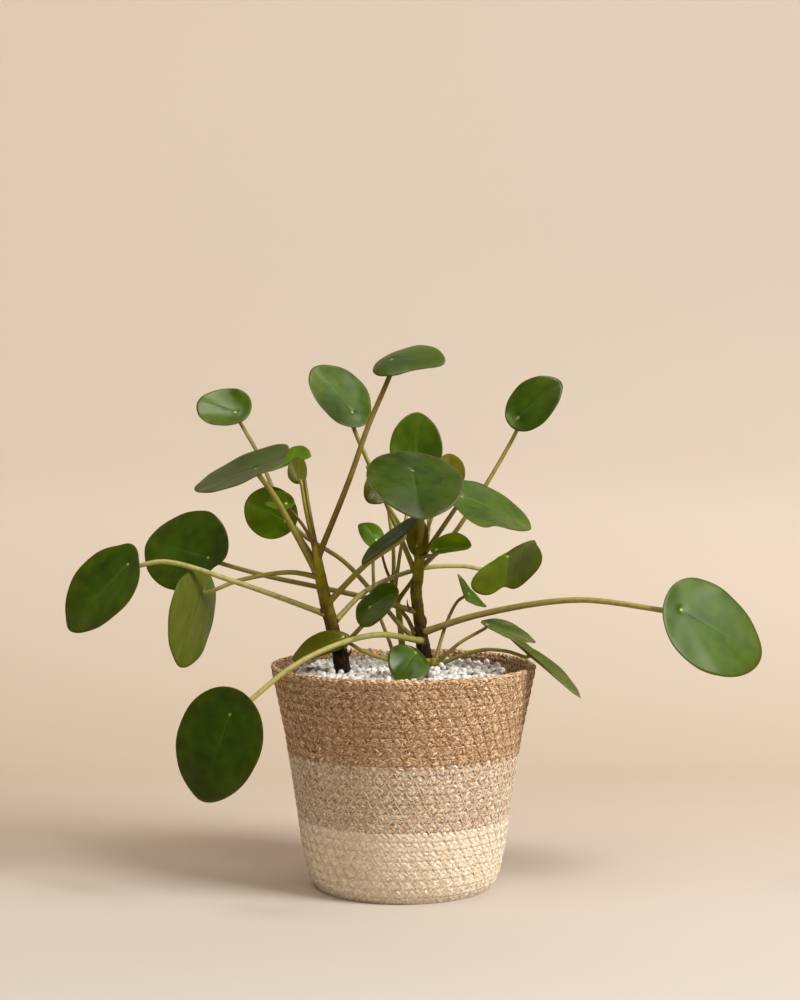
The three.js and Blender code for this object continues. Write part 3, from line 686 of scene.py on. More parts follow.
def stem_skin(name, tip, middle, foot, brown_up_to):
    """Young bark, as it grows: green and smooth at the tip, then brown in streaks, then cork, almost black.

    The streaks are 2.2 mm wide and 10 mm long, and blotches 8 mm wide make the brown's edge wander. A leaf
    scar's ring is brown, and the skin is a little waxy.
    """
    material = new_material(name)
    here = add_node(material, "TexCoord", output="Object")
    height = add_node(material, "SeparateXYZ", {0: here}, output=2)
    scale = (1000 / streak_width, 1000 / streak_width, 1000 / streak_length)
    cork_from, cork_to = brown_up_to - 0.038, brown_up_to - 0.056
    streak_place = add_node(material, "Mapping", {"Vector": here, "Scale": scale})
    streaks = add_node(material, "TexNoise", {
        "Vector": streak_place, "Scale": 1, "Detail": 4, "Roughness": 0.6})
    blotch = add_node(material, "TexNoise", {"Vector": here, "Scale": 1000 / blotch_size, "Detail": 3})
    own = add_node(material, "Attribute", output="Vector", attribute_name="bark")
    ring = add_node(material, "SeparateXYZ", {0: own})
    green = add_node(material, "MapRange", {"Value": streaks, "From Min": 0.35, "From Max": 0.7})
    base = add_node(material, "Mix", {0: green, 6: tip, 7: middle})
    wander = add_node(material, "Math", {0: blotch, 1: 0.04, 2: height}, operation="MULTIPLY_ADD")
    wander = add_node(material, "Math", {0: streaks, 1: 0.05, 2: wander}, operation="MULTIPLY_ADD")
    brown = add_node(material, "MapRange", {
        "Value": wander, "From Min": brown_up_to, "From Max": brown_up_to - 0.034, "To Max": 0.9})
    base = add_node(material, "Mix", {0: brown, 6: base, 7: foot})
    scar = add_node(material, "MapRange", {"Value": ring, "To Max": 0.22})
    base = add_node(material, "Mix", {0: scar, 6: base, 7: foot})
    crack = add_node(material, "MapRange", {"Value": streaks, "From Min": 0.45, "From Max": 0.75})
    cork = add_node(material, "Mix", {0: crack, 6: "#160c03", 7: "#48290c"})
    corky = add_node(material, "MapRange", {"Value": wander, "From Min": cork_from, "From Max": cork_to})
    base = add_node(material, "Mix", {0: corky, 6: base, 7: cork})
    relief = add_node(material, "Bump", {"Height": streaks, "Distance": 0.0005, "Strength": 0.6})
    shader = add_node(material, "BsdfPrincipled", {"Base Color": base, "Roughness": 0.6, "Normal": relief,
                                                   "Specular IOR Level": 0.15})
    add_node(material, "OutputMaterial", {"Surface": shader})
    return material


def stand_for_stem(piece, stem_name):
    """A piece that stands for a stem's node."""
    stand_for(piece, stem_name)


woody_skin = stem_skin("pilea_bark", "#a09a20", "#7a7414", "#4c3006", 0.262)
green_skin = stem_skin("pilea_green_stem", "#9a9030", "#7c7018", "#6a5418", 0.205)
for stem_name, stem in stems.items():
    ring_count, side_count = (150, 36) if stem["woody"] else (60, 20)
    stem_points, stem_faces, bark_places = stem_surface(stem, ring_count, side_count)
    skin = woody_skin if stem["woody"] else green_skin
    trunk = put_mesh(stem_name.replace("stem", "trunk"), stem_points, stem_faces, skin, bark=bark_places)
    stand_for_stem(trunk, stem_name)


# Blades. A pilea's blade is a thick coin of waxed leaf, which its long round petiole meets at a pale
# dot inside the outline. The blades stand out on all sides, towards whatever light they grew in.
usual = dict(hold=0.27, cup=1.2, fold=3, bend=4, wave=0.6, dents=[], neck=2.5, stalk=1.5, via=[],
             kind="green", tint="olive", shade=1.0, warmth=0.0)
usual_length = 60
blade_thickness, edge_bulge = 0.9, 0.22
tip_bulge, tip_reach, base_spread = 0.05, 0.4, 0.07
ruffle_height, rim_drop, vein_depth = 0.35, 0.35, 0.22
dimple_depth, dimple_reach = 0.7, 2.2

# stem and root say where the petiole grows, and via is its way. at is the dot, heading and rise point
# the midrib from it to the tip, in degrees round from +X and up from level, and roll turns the blade
# about it. hold is the share of the length behind the dot. cup, bend and wave are lifts in millimetres,
# and fold tips both halves up by degrees. Each dent is its turn round the dot and its width in degrees,
# and its depth as a share of the reach, below 0 where it stands out. neck and stalk are the petiole's
# last bend and its radius. kind and tint name the finishes, and shade and warmth change the blade's.
# shade is partly the blade's own tone and partly painted light: it brightens blades that lie in shadow and
# blades lit through from behind, and darkens some that catch a sheen.
leaves = {
    "leaf_upper_left": dict(
        stem="stem_right", root=[9, 19, 164],
        via=[[-2, 21, 174], [-14, 22, 188], [-40, 15, 218], [-74, 15, 242], [-103, 50, 294]],
        at=[-119, 70, 321], heading=159, rise=15, roll=48, length=40.5, width=35.5,
        cup=2.4, stalk=1.4, tint="straw", shade=1.1),
    "leaf_left_tray": dict(
        stem="stem_left", root=[-58, -21, 214], via=[[-85, -33, 265]],
        at=[-97, -45, 284.4], heading=158, rise=-16, roll=27, length=69, width=49,
        hold=0.36, dents=[(-133, 18, -0.17), (-175, 18, 0.1), (-45, 25, -0.09)], stalk=1.8, kind="dull",
        shade=0.7, warmth=0.1),
    "leaf_curled": dict(
        stem="stem_left", root=[-58, -21, 229], via=[[-63, -17, 255]],
        at=[-70, -6, 288.5], heading=165, rise=-17, roll=25, length=31, width=29,
        fold=18, bend=3, stalk=1.3, tint="brown", shade=2.4),
    "leaf_young_under": dict(
        stem="stem_left", root=[-59, -22, 227], via=[[-65, -22, 255]],
        at=[-70, -21, 274.5], heading=110, rise=75, roll=170, length=17, width=15,
        hold=0.06, stalk=1.1, kind="young", shade=0.75),
    "leaf_left_round": dict(
        stem="stem_left", root=[-57, -20, 219], via=[[-70, -12, 238]],
        at=[-79, -12, 248], heading=157, rise=26, roll=78, length=40, width=35,
        hold=0.2, fold=12, stalk=1.2, tint="brown", shade=1.9, warmth=0.08),
    "leaf_young_left": dict(
        stem="stem_left", root=[-59, -22, 231], via=[[-67, -25, 246]],
        at=[-78, -20, 260], heading=175, rise=5, roll=60, length=20, width=15,
        fold=25, stalk=1.0, tint="red", shade=1.6, warmth=0.2),
    "leaf_far_left": dict(
        stem="stem_left", root=[-52, -20, 186], via=[[-108, -36, 208], [-156, -46, 223]],
        at=[-180, -50, 222], heading=-177, rise=-46, roll=43, length=65, width=55,
        hold=0.14, dents=[(-168, 15, -0.3), (153, 22, 0.08), (-100, 40, -0.06)], stalk=1.6, kind="dark",
        tint="pale"),
    "leaf_left_back": dict(
        stem="stem_right", root=[9, 18, 184], via=[[-26, 15, 194], [-60, 10, 202], [-95, 16, 209]],
        at=[-135, 25, 221], heading=145, rise=10, roll=62, length=71, width=59,
        hold=0.22, dents=[(160, 20, 0.32), (-103, 18, -0.06)], stalk=1.6, kind="dark"),
    "leaf_hanging_left": dict(
        stem="stem_left", root=[-57, -21, 211], via=[[-76, -20, 214], [-109, -24, 209]],
        at=[-134, -30, 202], heading=-131, rise=-66, roll=-75, length=64, width=57,
        hold=0.21, stalk=1.4, kind="pale"),
    "leaf_front_low": dict(
        stem="stem_right", root=[12, 17, 164], via=[[-17, -18, 172], [-46, -49, 168], [-73, -68, 156]],
        at=[-110.3, -92, 129.5], heading=-177, rise=-71, roll=61, length=73, width=61,
        hold=0.23, stalk=1.7, kind="dark", tint="pale", shade=0.75),
    "leaf_left_rim": dict(
        stem="stem_crown", root=[18, 8, 151], via=[[-9, 0, 153], [-27, -18, 161]],
        at=[-40, -32, 172.5], heading=176, rise=-21, roll=50, length=42, width=22,
        hold=0.12, cup=-1, dents=[(-150, 40, 0.35), (85, 45, 0.3)], stalk=1.3, kind="dark", shade=1.35,
        warmth=0.5),
    "leaf_top_left": dict(
        stem="stem_right", root=[8, 17, 211], via=[[-12, 20, 259]],
        at=[-35, 25, 321], heading=161, rise=49, roll=31, length=54, width=46,
        hold=0.25, cup=2.6, dents=[(-137, 32, 0.22)], shade=0.95),
    "leaf_centre_low": dict(
        stem="stem_left", root=[-41, -18, 163],
        at=[-22.5, -30, 192], heading=-26, rise=32, roll=-48, length=34.5, width=33,
        hold=0.34, dents=[(-90, 50, -0.25), (105, 45, 0.3)], stalk=1.4, kind="dark"),
    "leaf_front_rim": dict(
        stem="stem_right", root=[11, 16, 152],
        at=[8, -44, 163], heading=-120, rise=-30, roll=35, length=29, width=29,
        hold=0.12, dents=[(155, 30, 0.5)], stalk=1.2, shade=0.8),
    "leaf_side_on": dict(
        stem="stem_left", root=[-50, -21, 194], via=[[-24, -34, 221]],
        at=[-2, -38, 242.5], heading=180, rise=-38, roll=11, length=46, width=36,
        hold=0.3, cup=0.4, fold=4, bend=1, stalk=1.7, kind="dull_dark", shade=0.6, warmth=0.05),
    "leaf_centre_tray": dict(
        stem="stem_right", root=[11, 15, 226], via=[[12, -12, 252]],
        at=[6, -45, 283], heading=-84, rise=-33, roll=4, length=70, width=63,
        hold=0.28, stalk=1.7, shade=0.62),
    "leaf_right_arch": dict(
        stem="stem_right", root=[13, 15, 222],
        at=[39, -20, 265], heading=4, rise=-20, roll=-28, length=63, width=54,
        hold=0.21, bend=7, dents=[(85, 45, 0.19), (-106, 20, -0.27), (-76, 14, 0.08)]),
    "leaf_back_upright": dict(
        stem="stem_middle", root=[-4, 34, 190], via=[[11, 27, 213], [17, 32, 236], [16, 53, 260]],
        at=[9, 58, 286], heading=90, rise=75, roll=0, length=48, width=37,
        stalk=1.3, shade=0.88),
    "leaf_young_back": dict(
        stem="stem_right", root=[12, 16, 226], via=[[20, 22, 250]],
        at=[31.5, 35, 273.5], heading=80, rise=75, roll=-10, length=26, width=22,
        stalk=1.1, kind="young", shade=0.8),
    "leaf_top_right": dict(
        stem="stem_right", root=[11, 17, 213], via=[[35, 20, 238]],
        at=[79.2, 32, 317.4], heading=-14, rise=42, roll=-58, length=45, width=39,
        hold=0.18, stalk=1.4, shade=0.9),
    "leaf_young_front": dict(
        stem="stem_right", root=[9, 14, 222], via=[[-4, 4, 247]],
        at=[-16, -5, 272], heading=-120, rise=-38, roll=56, length=23, width=20,
        stalk=1.1, kind="young", shade=0.8),
    "leaf_sprout": dict(
        stem="stem_sprout", root=[-5, 7, 149], via=[[-9, 5, 163], [-19, -3, 194]],
        at=[-18, -12, 235], heading=-170, rise=44, roll=57, length=21, width=17,
        stalk=1.1, tint="straw", shade=3.0),
    "leaf_right_boat": dict(
        stem="stem_right", root=[12, 14, 222],
        at=[22, -11, 228.5], heading=0, rise=12, roll=-40, length=27, width=24,
        hold=0.15, fold=25, dents=[(115, 40, 0.3)], stalk=1.2, shade=5.2, warmth=0.1),
    "leaf_right_folded": dict(
        stem="stem_left", root=[-45, -18, 182],
        via=[[-25, 2, 200], [10, 32, 212], [42, 62, 212], [60, 74, 209]],
        at=[74, 62, 219], heading=-98, rise=-45, roll=-32, length=38, width=60,
        hold=0.12, fold=10,
        dents=[(-5, 16, 0.22), (55, 28, -0.08), (78, 26, -0.16), (150, 25, -0.3), (-132, 30, 0.58),
               (-165, 20, 0.3)], tint="pale", shade=2.2, warmth=0.25),
    "leaf_right_sliver": dict(
        stem="stem_crown", root=[21, 9, 149], via=[[30, 20, 177], [37.5, 22, 191]],
        at=[45.0, 22, 196.2], heading=-96, rise=-14, roll=50, length=20, width=31,
        hold=0.42, fold=12, dents=[(-60, 30, -0.1), (130, 40, 0.15)], neck=1.0, stalk=1.1),
    "leaf_right_slant": dict(
        stem="stem_crown", root=[21, 8, 148], via=[[38, 3, 164]],
        at=[57, 4, 177], heading=-10, rise=-16.5, roll=-15, length=38.5, width=24,
        hold=0.12, neck=0.7, stalk=1.1, shade=1.15, warmth=0.2),
    "leaf_right_rim": dict(
        stem="stem_crown", root=[21, 7, 148], via=[[52, -4, 160], [69, -14, 160.5]],
        at=[84, -24, 159.4], heading=-11, rise=-38.5, roll=-3, length=59, width=35,
        hold=0.28, fold=12, dents=[(118, 28, 0.5)], neck=0.5, stalk=1.2, shade=0.9, warmth=0.3),
    "leaf_far_right": dict(
        stem="stem_right", root=[14, 18, 170], via=[[52, 8, 183], [118, -14, 195]],
        at=[183, -38, 191], heading=11, rise=-29, roll=-59, length=78, width=69,
        hold=0.175, cup=0.5, fold=1, dents=[(80, 50, 0.11)], stalk=1.9, kind="dull", tint="straw",
        shade=1.05),
    "leaf_top": dict(
        stem="stem_left", root=[-57, -22, 224], via=[[-36, -24, 276], [-24, -25, 310]],
        at=[-8, -24, 356], heading=-27, rise=3, roll=-29, length=49, width=45,
        cup=-3, bend=5, dents=[(-80, 50, 0.17), (-40, 25, 0.1)], stalk=1.7, kind="dull", tint="brown",
        shade=0.85),
    "leaf_tip_right": dict(
        stem="stem_right", root=[11, 15, 224],
        at=[9, 8, 230], heading=95, rise=82, roll=0, length=28, width=17,
        hold=0.25, fold=30, stalk=1.0, kind="young"),
    "leaf_back_lower": dict(
        stem="stem_right", root=[8, 19, 168],
        via=[[3, 25, 178], [-5, 27, 190], [-3, 28, 219], [0, 30, 236]],
        at=[2, 40, 258], heading=60, rise=20, roll=0, length=20, width=18,
        stalk=1.2),
    "leaf_back_left": dict(
        stem="stem_middle", root=[-7, 33, 199], via=[[-7, 36, 225], [-10, 42, 250]],
        at=[-12, 60, 276], heading=130, rise=30, roll=10, length=26, width=22,
        stalk=1.2),
    "leaf_young_middle": dict(
        stem="stem_middle", root=[-8, 32, 203], via=[[-12, 22, 213]],
        at=[-13, 8, 228], heading=-150, rise=30, roll=40, length=13, width=10,
        stalk=0.9, kind="young", tint="red"),
}


def blade_directions(leaf):
    """A blade's own directions: along its midrib, across it, and out of its upper face."""
    heading, rise, roll = np.radians([leaf["heading"], leaf["rise"], leaf["roll"]])
    along = np.array([np.cos(rise) * np.cos(heading), np.cos(rise) * np.sin(heading), np.sin(rise)])
    upright = np.array([-np.sin(rise) * np.cos(heading), -np.sin(rise) * np.sin(heading), np.cos(rise)])
    side = np.cross(upright, along)
    out = upright * np.cos(roll) + side * np.sin(roll)
    return along, np.cross(out, along), out


def dimple_bottom(leaf):
    """The lowest point of the dimple at a blade's dot, in its upper face."""
    _, _, out = blade_directions(leaf)
    return np.array(leaf["at"], float) - dimple_depth * leaf["length"] / usual_length * out


def blade_surface(leaf, rings, sectors):
    """The upper face on a grid of reach (0 at the dot, 1 at the edge) and turn round the dot.

    Along the midrib u = reach (ahead + half cos turn) with a blunt tip, across it v = reach half-width
    sin turn, a little wider at the base. The lift is a dish, a bend down to the tip, a wave and ruffle
    that grow to the edge, a fold on both sides of the midrib, a dimple at the dot, a groove along the
    midrib and a rim that turns under.
    """
    along, across, out = blade_directions(leaf)
    reach = np.linspace(0, 1, rings + 1)[1:, None] ** 0.85
    turn = np.linspace(0, 2 * np.pi, sectors, endpoint=False)[None]
    turn = (turn + np.pi) % (2 * np.pi) - np.pi
    half = leaf["length"] / 2
    ahead = half - leaf["hold"] * leaf["length"]
    fold = np.radians(leaf["fold"])
    outline = np.ones_like(turn)
    for centre, width, depth in leaf["dents"]:
        away = (np.degrees(turn) - centre + 180) % 360 - 180
        outline = outline - depth * np.exp(-(away / width) ** 2)
    u = reach * outline * (ahead + half * (np.cos(turn) + tip_bulge * np.exp(-(turn / tip_reach) ** 2)))
    v = reach * outline * (leaf["width"] / 2) * np.sin(turn) * (1 - base_spread * np.cos(turn))
    heading = leaf["heading"]
    size = leaf["length"] / usual_length
    ruffle = ruffle_height * size * reach ** 3 * np.sin(7 * turn + 2 * heading) * np.sin(2 * turn + heading)
    crease = np.sqrt((v * np.sin(fold)) ** 2 + 0.04 * size) - 0.2 * np.sqrt(size)
    dimple = dimple_depth * size * np.exp(-((u ** 2 + v ** 2) / (dimple_reach * size) ** 2))
    lift = (leaf["cup"] * reach ** 2 - leaf["bend"] * (u / leaf["length"]) ** 2
            + leaf["wave"] * reach ** 2 * np.sin(3 * turn + heading) + crease + ruffle
            - dimple - rim_drop * reach ** 14)
    vein = np.exp(-(v / (0.5 + 0.3 * size)) ** 2) * np.exp(-np.maximum(-u, 0) ** 2) * (1 - reach ** 3)
    lift = lift - vein_depth * vein
    place = (np.array(leaf["at"], float) + u[..., None] * along + (v * np.cos(fold))[..., None] * across
             + lift[..., None] * out)
    own = np.stack(np.broadcast_arrays(u, v, reach), -1)
    return place, own


def blade_mesh(leaf, rings, sectors):
    """Both faces of a blade and a rounded edge: the lower face is the upper one set in by its thickness.

    blade gives each point's u, v and reach. side gives its face, 1 above and 0 below, and the blade's
    shade, partly its own tone and partly painted light, and its warmth.
    """
    place, own = blade_surface(leaf, rings, sectors)
    middle = dimple_bottom(leaf)
    _, _, out = blade_directions(leaf)
    after = np.roll(place, -1, axis=1) - np.roll(place, 1, axis=1)
    inner = np.concatenate([np.broadcast_to(middle, (1, sectors, 3)), place[:-1]])
    normal = unit(np.cross(place - inner, after))
    normal = normal * np.sign(normal @ out)[..., None]
    thick = blade_thickness * (1 - 0.55 * own[..., 2] ** 10)
    under = place - normal * thick[..., None]
    edge = (place[-1] + under[-1]) / 2 + unit(place[-1] - place[-2]) * edge_bulge
    sheet = np.concatenate([place, edge[None], under[::-1]])
    points = np.concatenate([sheet.reshape(-1, 3), [middle], [middle - out * blade_thickness]])
    centre = np.zeros((1, 3))
    blade = np.concatenate([own, own[-1:], own[::-1]]).reshape(-1, 3)
    blade = np.concatenate([blade, centre, centre])
    face = np.repeat([1, 0.5, 0], [rings * sectors, sectors, rings * sectors])
    face = np.concatenate([face, [1, 0]])
    side = np.stack([face, np.full(len(face), leaf["shade"]), np.full(len(face), leaf["warmth"])], -1)
    return points, tube_faces(2 * rings + 1, sectors), blade, side


dot_radius, midrib_half = 1.4, 0.55
tissue_patch, cell_patch, pit_size = 24.0, 7.0, 2.4
vein_scale = (0.05, 0.24, 0)
light_depth = (0.6, 1.0, 0.08)


def leaf_skin(name, dark, light, under, gloss, glow):
    """A pilea's blade, as it grew: its waxed skin shines softly and lets some light through.

    The pattern reads the blade's own place: u and v in millimetres from the dot, and the reach. Cloudy
    patches 24 mm and 7 mm wide vary the green, a pale dot and midrib mark where the petiole meets it, and
    the rim is thin and brown. Below, veins about 20 mm long lie 4 mm apart. The skin's cells are too fine
    to show and are drawn as pits 2.4 mm wide. gloss is the wax's roughness, and glow is how much of the
    light goes into the leaf.
    """
    material = new_material(name)
    here = add_node(material, "TexCoord", output="Object")
    own = add_node(material, "Attribute", output="Vector", attribute_name="blade")
    u, v, reach = add_node(material, "SeparateXYZ", {0: own}).node.outputs
    side = add_node(material, "Attribute", output="Vector", attribute_name="side")
    face, shade, warmth = add_node(material, "SeparateXYZ", {0: side}).node.outputs
    patches = add_node(material, "TexNoise", {"Vector": here, "Scale": 1000 / tissue_patch, "Detail": 1})
    mottle = add_node(material, "TexNoise", {"Vector": here, "Scale": 1000 / cell_patch, "Detail": 0.5})
    pits = add_node(material, "TexNoise", {"Vector": here, "Scale": 1000 / pit_size, "Detail": 2})
    tone = add_node(material, "Math", {0: mottle, 1: 0.5, 2: patches}, operation="MULTIPLY_ADD")
    tone = add_node(material, "MapRange", {"Value": tone, "From Min": 0.45, "From Max": 1.05})
    base = add_node(material, "Mix", {0: tone, 6: dark, 7: light})
    base = add_node(material, "Mix", {0: warmth, 6: base, 7: "#5a4c08"})
    outer = add_node(material, "MapRange", {"Value": reach, "From Min": 0.55, "To Max": 0.5})
    outer = add_node(material, "Math", {0: outer, 1: mottle}, operation="MULTIPLY")
    base = add_node(material, "Mix", {0: outer, 6: base, 7: "#545004"})
    off_midrib = add_node(material, "Math", {0: v}, operation="ABSOLUTE")
    midrib = add_node(material, "MapRange", {
        "Value": off_midrib, "From Min": midrib_half, "From Max": 0.1})
    ahead = add_node(material, "MapRange", {"Value": u, "From Min": -1.0, "From Max": 2.0})
    midrib = add_node(material, "Math", {0: midrib, 1: ahead}, operation="MULTIPLY")
    fade = add_node(material, "MapRange", {
        "Value": reach, "From Min": 0.8, "From Max": 0.2, "To Max": 0.18})
    midrib = add_node(material, "Math", {0: midrib, 1: fade}, operation="MULTIPLY")
    base = add_node(material, "Mix", {0: midrib, 6: base, 7: "#7d9440"})
    flat_place = add_node(material, "Mapping", {"Vector": own, "Scale": (1, 1, 0)})
    from_dot = add_node(material, "VectorMath", {0: flat_place}, output="Value", operation="LENGTH")
    dot = add_node(material, "MapRange", {
        "Value": from_dot, "From Min": dot_radius, "From Max": 0.4, "To Max": 0.75})
    base = add_node(material, "Mix", {0: dot, 6: base, 7: "#b4c070"})
    vein_place = add_node(material, "Mapping", {"Vector": own, "Scale": vein_scale})
    veins = add_node(material, "TexNoise", {"Vector": vein_place, "Scale": 1, "Detail": 3})
    veins = add_node(material, "MapRange", {"Value": veins, "From Min": 0.35, "From Max": 0.7})
    below = add_node(material, "Mix", {0: veins, 6: under, 7: "#5e6020"})
    upper = add_node(material, "MapRange", {"Value": face, "From Min": 0.45, "From Max": 0.55})
    base = add_node(material, "Mix", {0: upper, 6: below, 7: base})
    # Painted light: each blade's shade scales its brightness, lifting blades in shadow and darkening some.
    base = add_node(material, "HueSaturation", {"Color": base, "Value": shade})
    rim = add_node(material, "MapRange", {
        "Value": reach, "From Min": 0.965, "From Max": 0.995, "To Max": 0.75})
    base = add_node(material, "Mix", {0: rim, 6: base, 7: "#4a3a12"})
    rough = add_node(material, "Math", {0: mottle, 1: 0.08, 2: gloss}, operation="MULTIPLY_ADD")
    height = add_node(material, "Math", {0: mottle, 1: 2.0, 2: pits}, operation="MULTIPLY_ADD")
    relief = add_node(material, "Bump", {"Height": height, "Distance": 0.00003, "Strength": 0.6})
    shader = add_node(material, "BsdfPrincipled", {
        "Base Color": base, "Roughness": rough, "Normal": relief, "Specular IOR Level": 0.2,
        "Specular Tint": "#f4ffe8", "Subsurface Weight": glow, "Subsurface Radius": light_depth,
        "Subsurface Scale": 0.002})
    add_node(material, "OutputMaterial", {"Surface": shader})
    return material


# Blades in shade take a slightly darker green, partly their own and partly painted shade, and are
# shinier. Old ones have a dull bloom on their wax, young ones are yellow and a little clearer, and a
# blade seen from below is pale and matt. Each kind has its slot, its name, its darker and lighter green,
# the colour of its underside, its gloss and its glow.
leaf_kinds = {
    "dark": ("dark_leaf", "pilea_blade_in_shade", "#233800", "#3c5801", "#4c5608", 0.22, 0.1),
    "green": ("green_leaf", "pilea_blade", "#264001", "#435e03", "#4c5808", 0.24, 0.15),
    "dull_dark": ("dark_leaf", "pilea_blade_in_shade_dull", "#233800", "#3c5801", "#4c5608", 0.55, 0.1),
    "dull": ("green_leaf", "pilea_blade_dull", "#264001", "#435e03", "#4c5808", 0.34, 0.15),
    "young": ("young_leaf", "pilea_young_blade", "#564e02", "#767006", "#666008", 0.28, 0.2),
    "pale": ("leaf_underside", "pilea_blade_from_below", "#35500c", "#4a6414", "#48580f", 0.4, 0.12),
}
leaf_finishes = {kind: (slot_name, leaf_skin(*values)) for kind, (slot_name, *values) in leaf_kinds.items()}
for leaf_name, own_values in leaves.items():
    leaf = {**usual, **own_values}
    ring_count, sector_count = (20, 72) if leaf["length"] > 30 else (14, 48)
    leaf_points, leaf_faces, blade_places, blade_sides = blade_mesh(leaf, ring_count, sector_count)
    slot_name, skin = leaf_finishes[leaf["kind"]]
    blade = put_mesh(leaf_name.replace("leaf", "blade"), leaf_points, leaf_faces, skin,
                     blade=blade_places, side=blade_sides)
    stand_for(blade, leaf_name)


# Petioles. Each grows from the stem with a slight swelling, is round and smooth all its way, and
# widens again where it meets the blade from below. They are olive, straw-coloured or reddish, and each
# tint here is a share of paleness and a share of redness.
petiole_tints = {"olive": (0.2, 0), "pale": (0.9, 0), "straw": (0.6, 0.15), "brown": (0.2, 0.55),
                 "red": (0.0, 1.0)}
petiole_sides, petiole_step = 12, 2.2
petiole_stoutness, petiole_taper = 1.22, 0.22
petiole_below, petiole_sunk = 0.35, 0.6
foot_swell, foot_reach = 0.35, 4
head_swell, head_reach = 0.25, 1.5
petiole_patch = 4


def petiole_tube(leaf):
    """One petiole: a tube on the smooth route from its root to just inside the blade's dot.

    Its radius tapers evenly and swells at both ends. Its places are the share of its way from the root,
    its paleness and its redness.
    """
    _, _, out = blade_directions(leaf)
    dimple = dimple_bottom(leaf)
    under = dimple - out * (blade_thickness + petiole_below)
    elbow = under - out * min(leaf["neck"], leaf["length"] / 12)
    points = [leaf["root"], *leaf["via"], elbow, under]
    length = np.linalg.norm(np.diff(np.array(points, float), axis=0), axis=1).sum()
    count = int(length / petiole_step) + 8
    head = dimple - out * blade_thickness * petiole_sunk
    path = np.concatenate([smooth_route(points, count), [head]])
    share = np.linspace(0, 1, count + 1)
    from_root = share * length
    radius = petiole_stoutness * leaf["stalk"] * (1 - petiole_taper * share)
    radius *= ((1 + foot_swell * np.exp(-from_root / foot_reach))
               * (1 + head_swell * np.exp(-(length - from_root) / head_reach)))
    reference = np.eye(3)[np.argmin(np.abs(unit(path[-1] - path[0])))]
    outward = np.broadcast_to(reference, path.shape)
    pale, red = petiole_tints[leaf["tint"]]
    own = np.stack([share, np.full(len(path), pale), np.full(len(path), red)], -1)
    own = with_poles(np.repeat(own, petiole_sides, axis=0))
    return tube(path, outward, radius, radius, petiole_sides), own


# Petiole skin: smooth and fleshy, full of water, so it is semi-gloss and glows a little. Its olive
# wanders over 4 mm, paler on old petioles and reddish brown on young ones.
petiole_skin = new_material("pilea_petiole")
petiole_here = add_node(petiole_skin, "TexCoord", output="Object")
petiole_own = add_node(petiole_skin, "Attribute", output="Vector", attribute_name="stalk")
petiole_share, petiole_pale, petiole_red = add_node(petiole_skin, "SeparateXYZ", {
    0: petiole_own}).node.outputs
petiole_grain = add_node(petiole_skin, "TexNoise", {
    "Vector": petiole_here, "Scale": 1000 / petiole_patch, "Detail": 3})
petiole_pale = add_node(petiole_skin, "Math", {
    0: petiole_share, 1: 0.25, 2: petiole_pale}, operation="MULTIPLY_ADD")
petiole_colour = add_node(petiole_skin, "Mix", {0: petiole_pale, 6: "#7c6e12", 7: "#a09a56"})
petiole_colour = add_node(petiole_skin, "Mix", {0: petiole_red, 6: petiole_colour, 7: "#70501c"})
petiole_dark = add_node(petiole_skin, "MapRange", {
    "Value": petiole_grain, "From Min": 0.5, "From Max": 0.75, "To Max": 0.45})
petiole_colour = add_node(petiole_skin, "Mix", {0: petiole_dark, 6: petiole_colour, 7: "#4c460a"})
petiole_relief = add_node(petiole_skin, "Bump", {
    "Height": petiole_grain, "Distance": 0.00015, "Strength": 0.5})
petiole_shader = add_node(petiole_skin, "BsdfPrincipled", {
    "Base Color": petiole_colour, "Roughness": 0.45, "Normal": petiole_relief, "Specular IOR Level": 0.3,
    "Subsurface Weight": 0.15, "Subsurface Radius": (0.6, 1.0, 0.2), "Subsurface Scale": 0.002})
add_node(petiole_skin, "OutputMaterial", {"Surface": petiole_shader})

for stem_name in stems:
    grown = [petiole_tube({**usual, **leaf}) for leaf in leaves.values() if leaf["stem"] == stem_name]
    tubes, places = zip(*grown)
    petioles = put_mesh(stem_name.replace("stem", "petioles"), np.concatenate(tubes),
                        joined_faces(tubes, petiole_sides), petiole_skin, stalk=np.concatenate(places))
    stand_for_stem(petioles, stem_name)


# Stipules. A papery scale stands in the angle above each old petiole and dries to a curled,
# reddish-brown thorn of skin. Each is given by its stem, its foot, heading, rise and length.
stipules = [
    ("stem_left", [-54, -23, 187], 180, 60, 7), ("stem_left", [-47, -21, 178], 200, 50, 6),
    ("stem_left", [-45, -22, 171], 20, 55, 6), ("stem_right", [10, 15, 190], 190, 50, 8),
    ("stem_right", [14, 18, 174], 0, 50, 8), ("stem_right", [13, 17, 168], -20, 40, 7),
    ("stem_right", [7, 15, 203], 170, 50, 6), ("stem_middle", [-8, 32, 203], 160, 60, 7),
    ("stem_middle", [-7, 31, 201], 110, 50, 6), ("stem_right", [6, 13, 197], 200, 65, 9),
    ("stem_right", [5, 13, 186], 215, 30, 8), ("stem_left", [-38, -20, 158], -30, 20, 7),
]
stipule_rings, stipule_sides = 10, 8
stipule_radius, stipule_curl = 1.15, 0.7


def stipule_mesh(place, heading, rise, length):
    """A curled scale: a flattened cone whose width falls to a point and whose spine bends back."""
    share = np.linspace(0, 1, stipule_rings)
    heading, rise = np.radians([heading, rise])
    level = np.array([np.cos(heading), np.sin(heading), 0.0])
    upward = np.array([0.0, 0.0, 1.0])
    bent = rise + stipule_curl * share
    path = (np.array(place, float) + (length * share * np.cos(bent))[:, None] * level
            + (length * share * np.sin(bent))[:, None] * upward)
    radius = stipule_radius * (1 - share) ** 0.7 + 0.06
    outward = np.broadcast_to(np.cross(level, upward), path.shape)
    return tube(path, outward, radius, 0.4 * radius, stipule_sides)


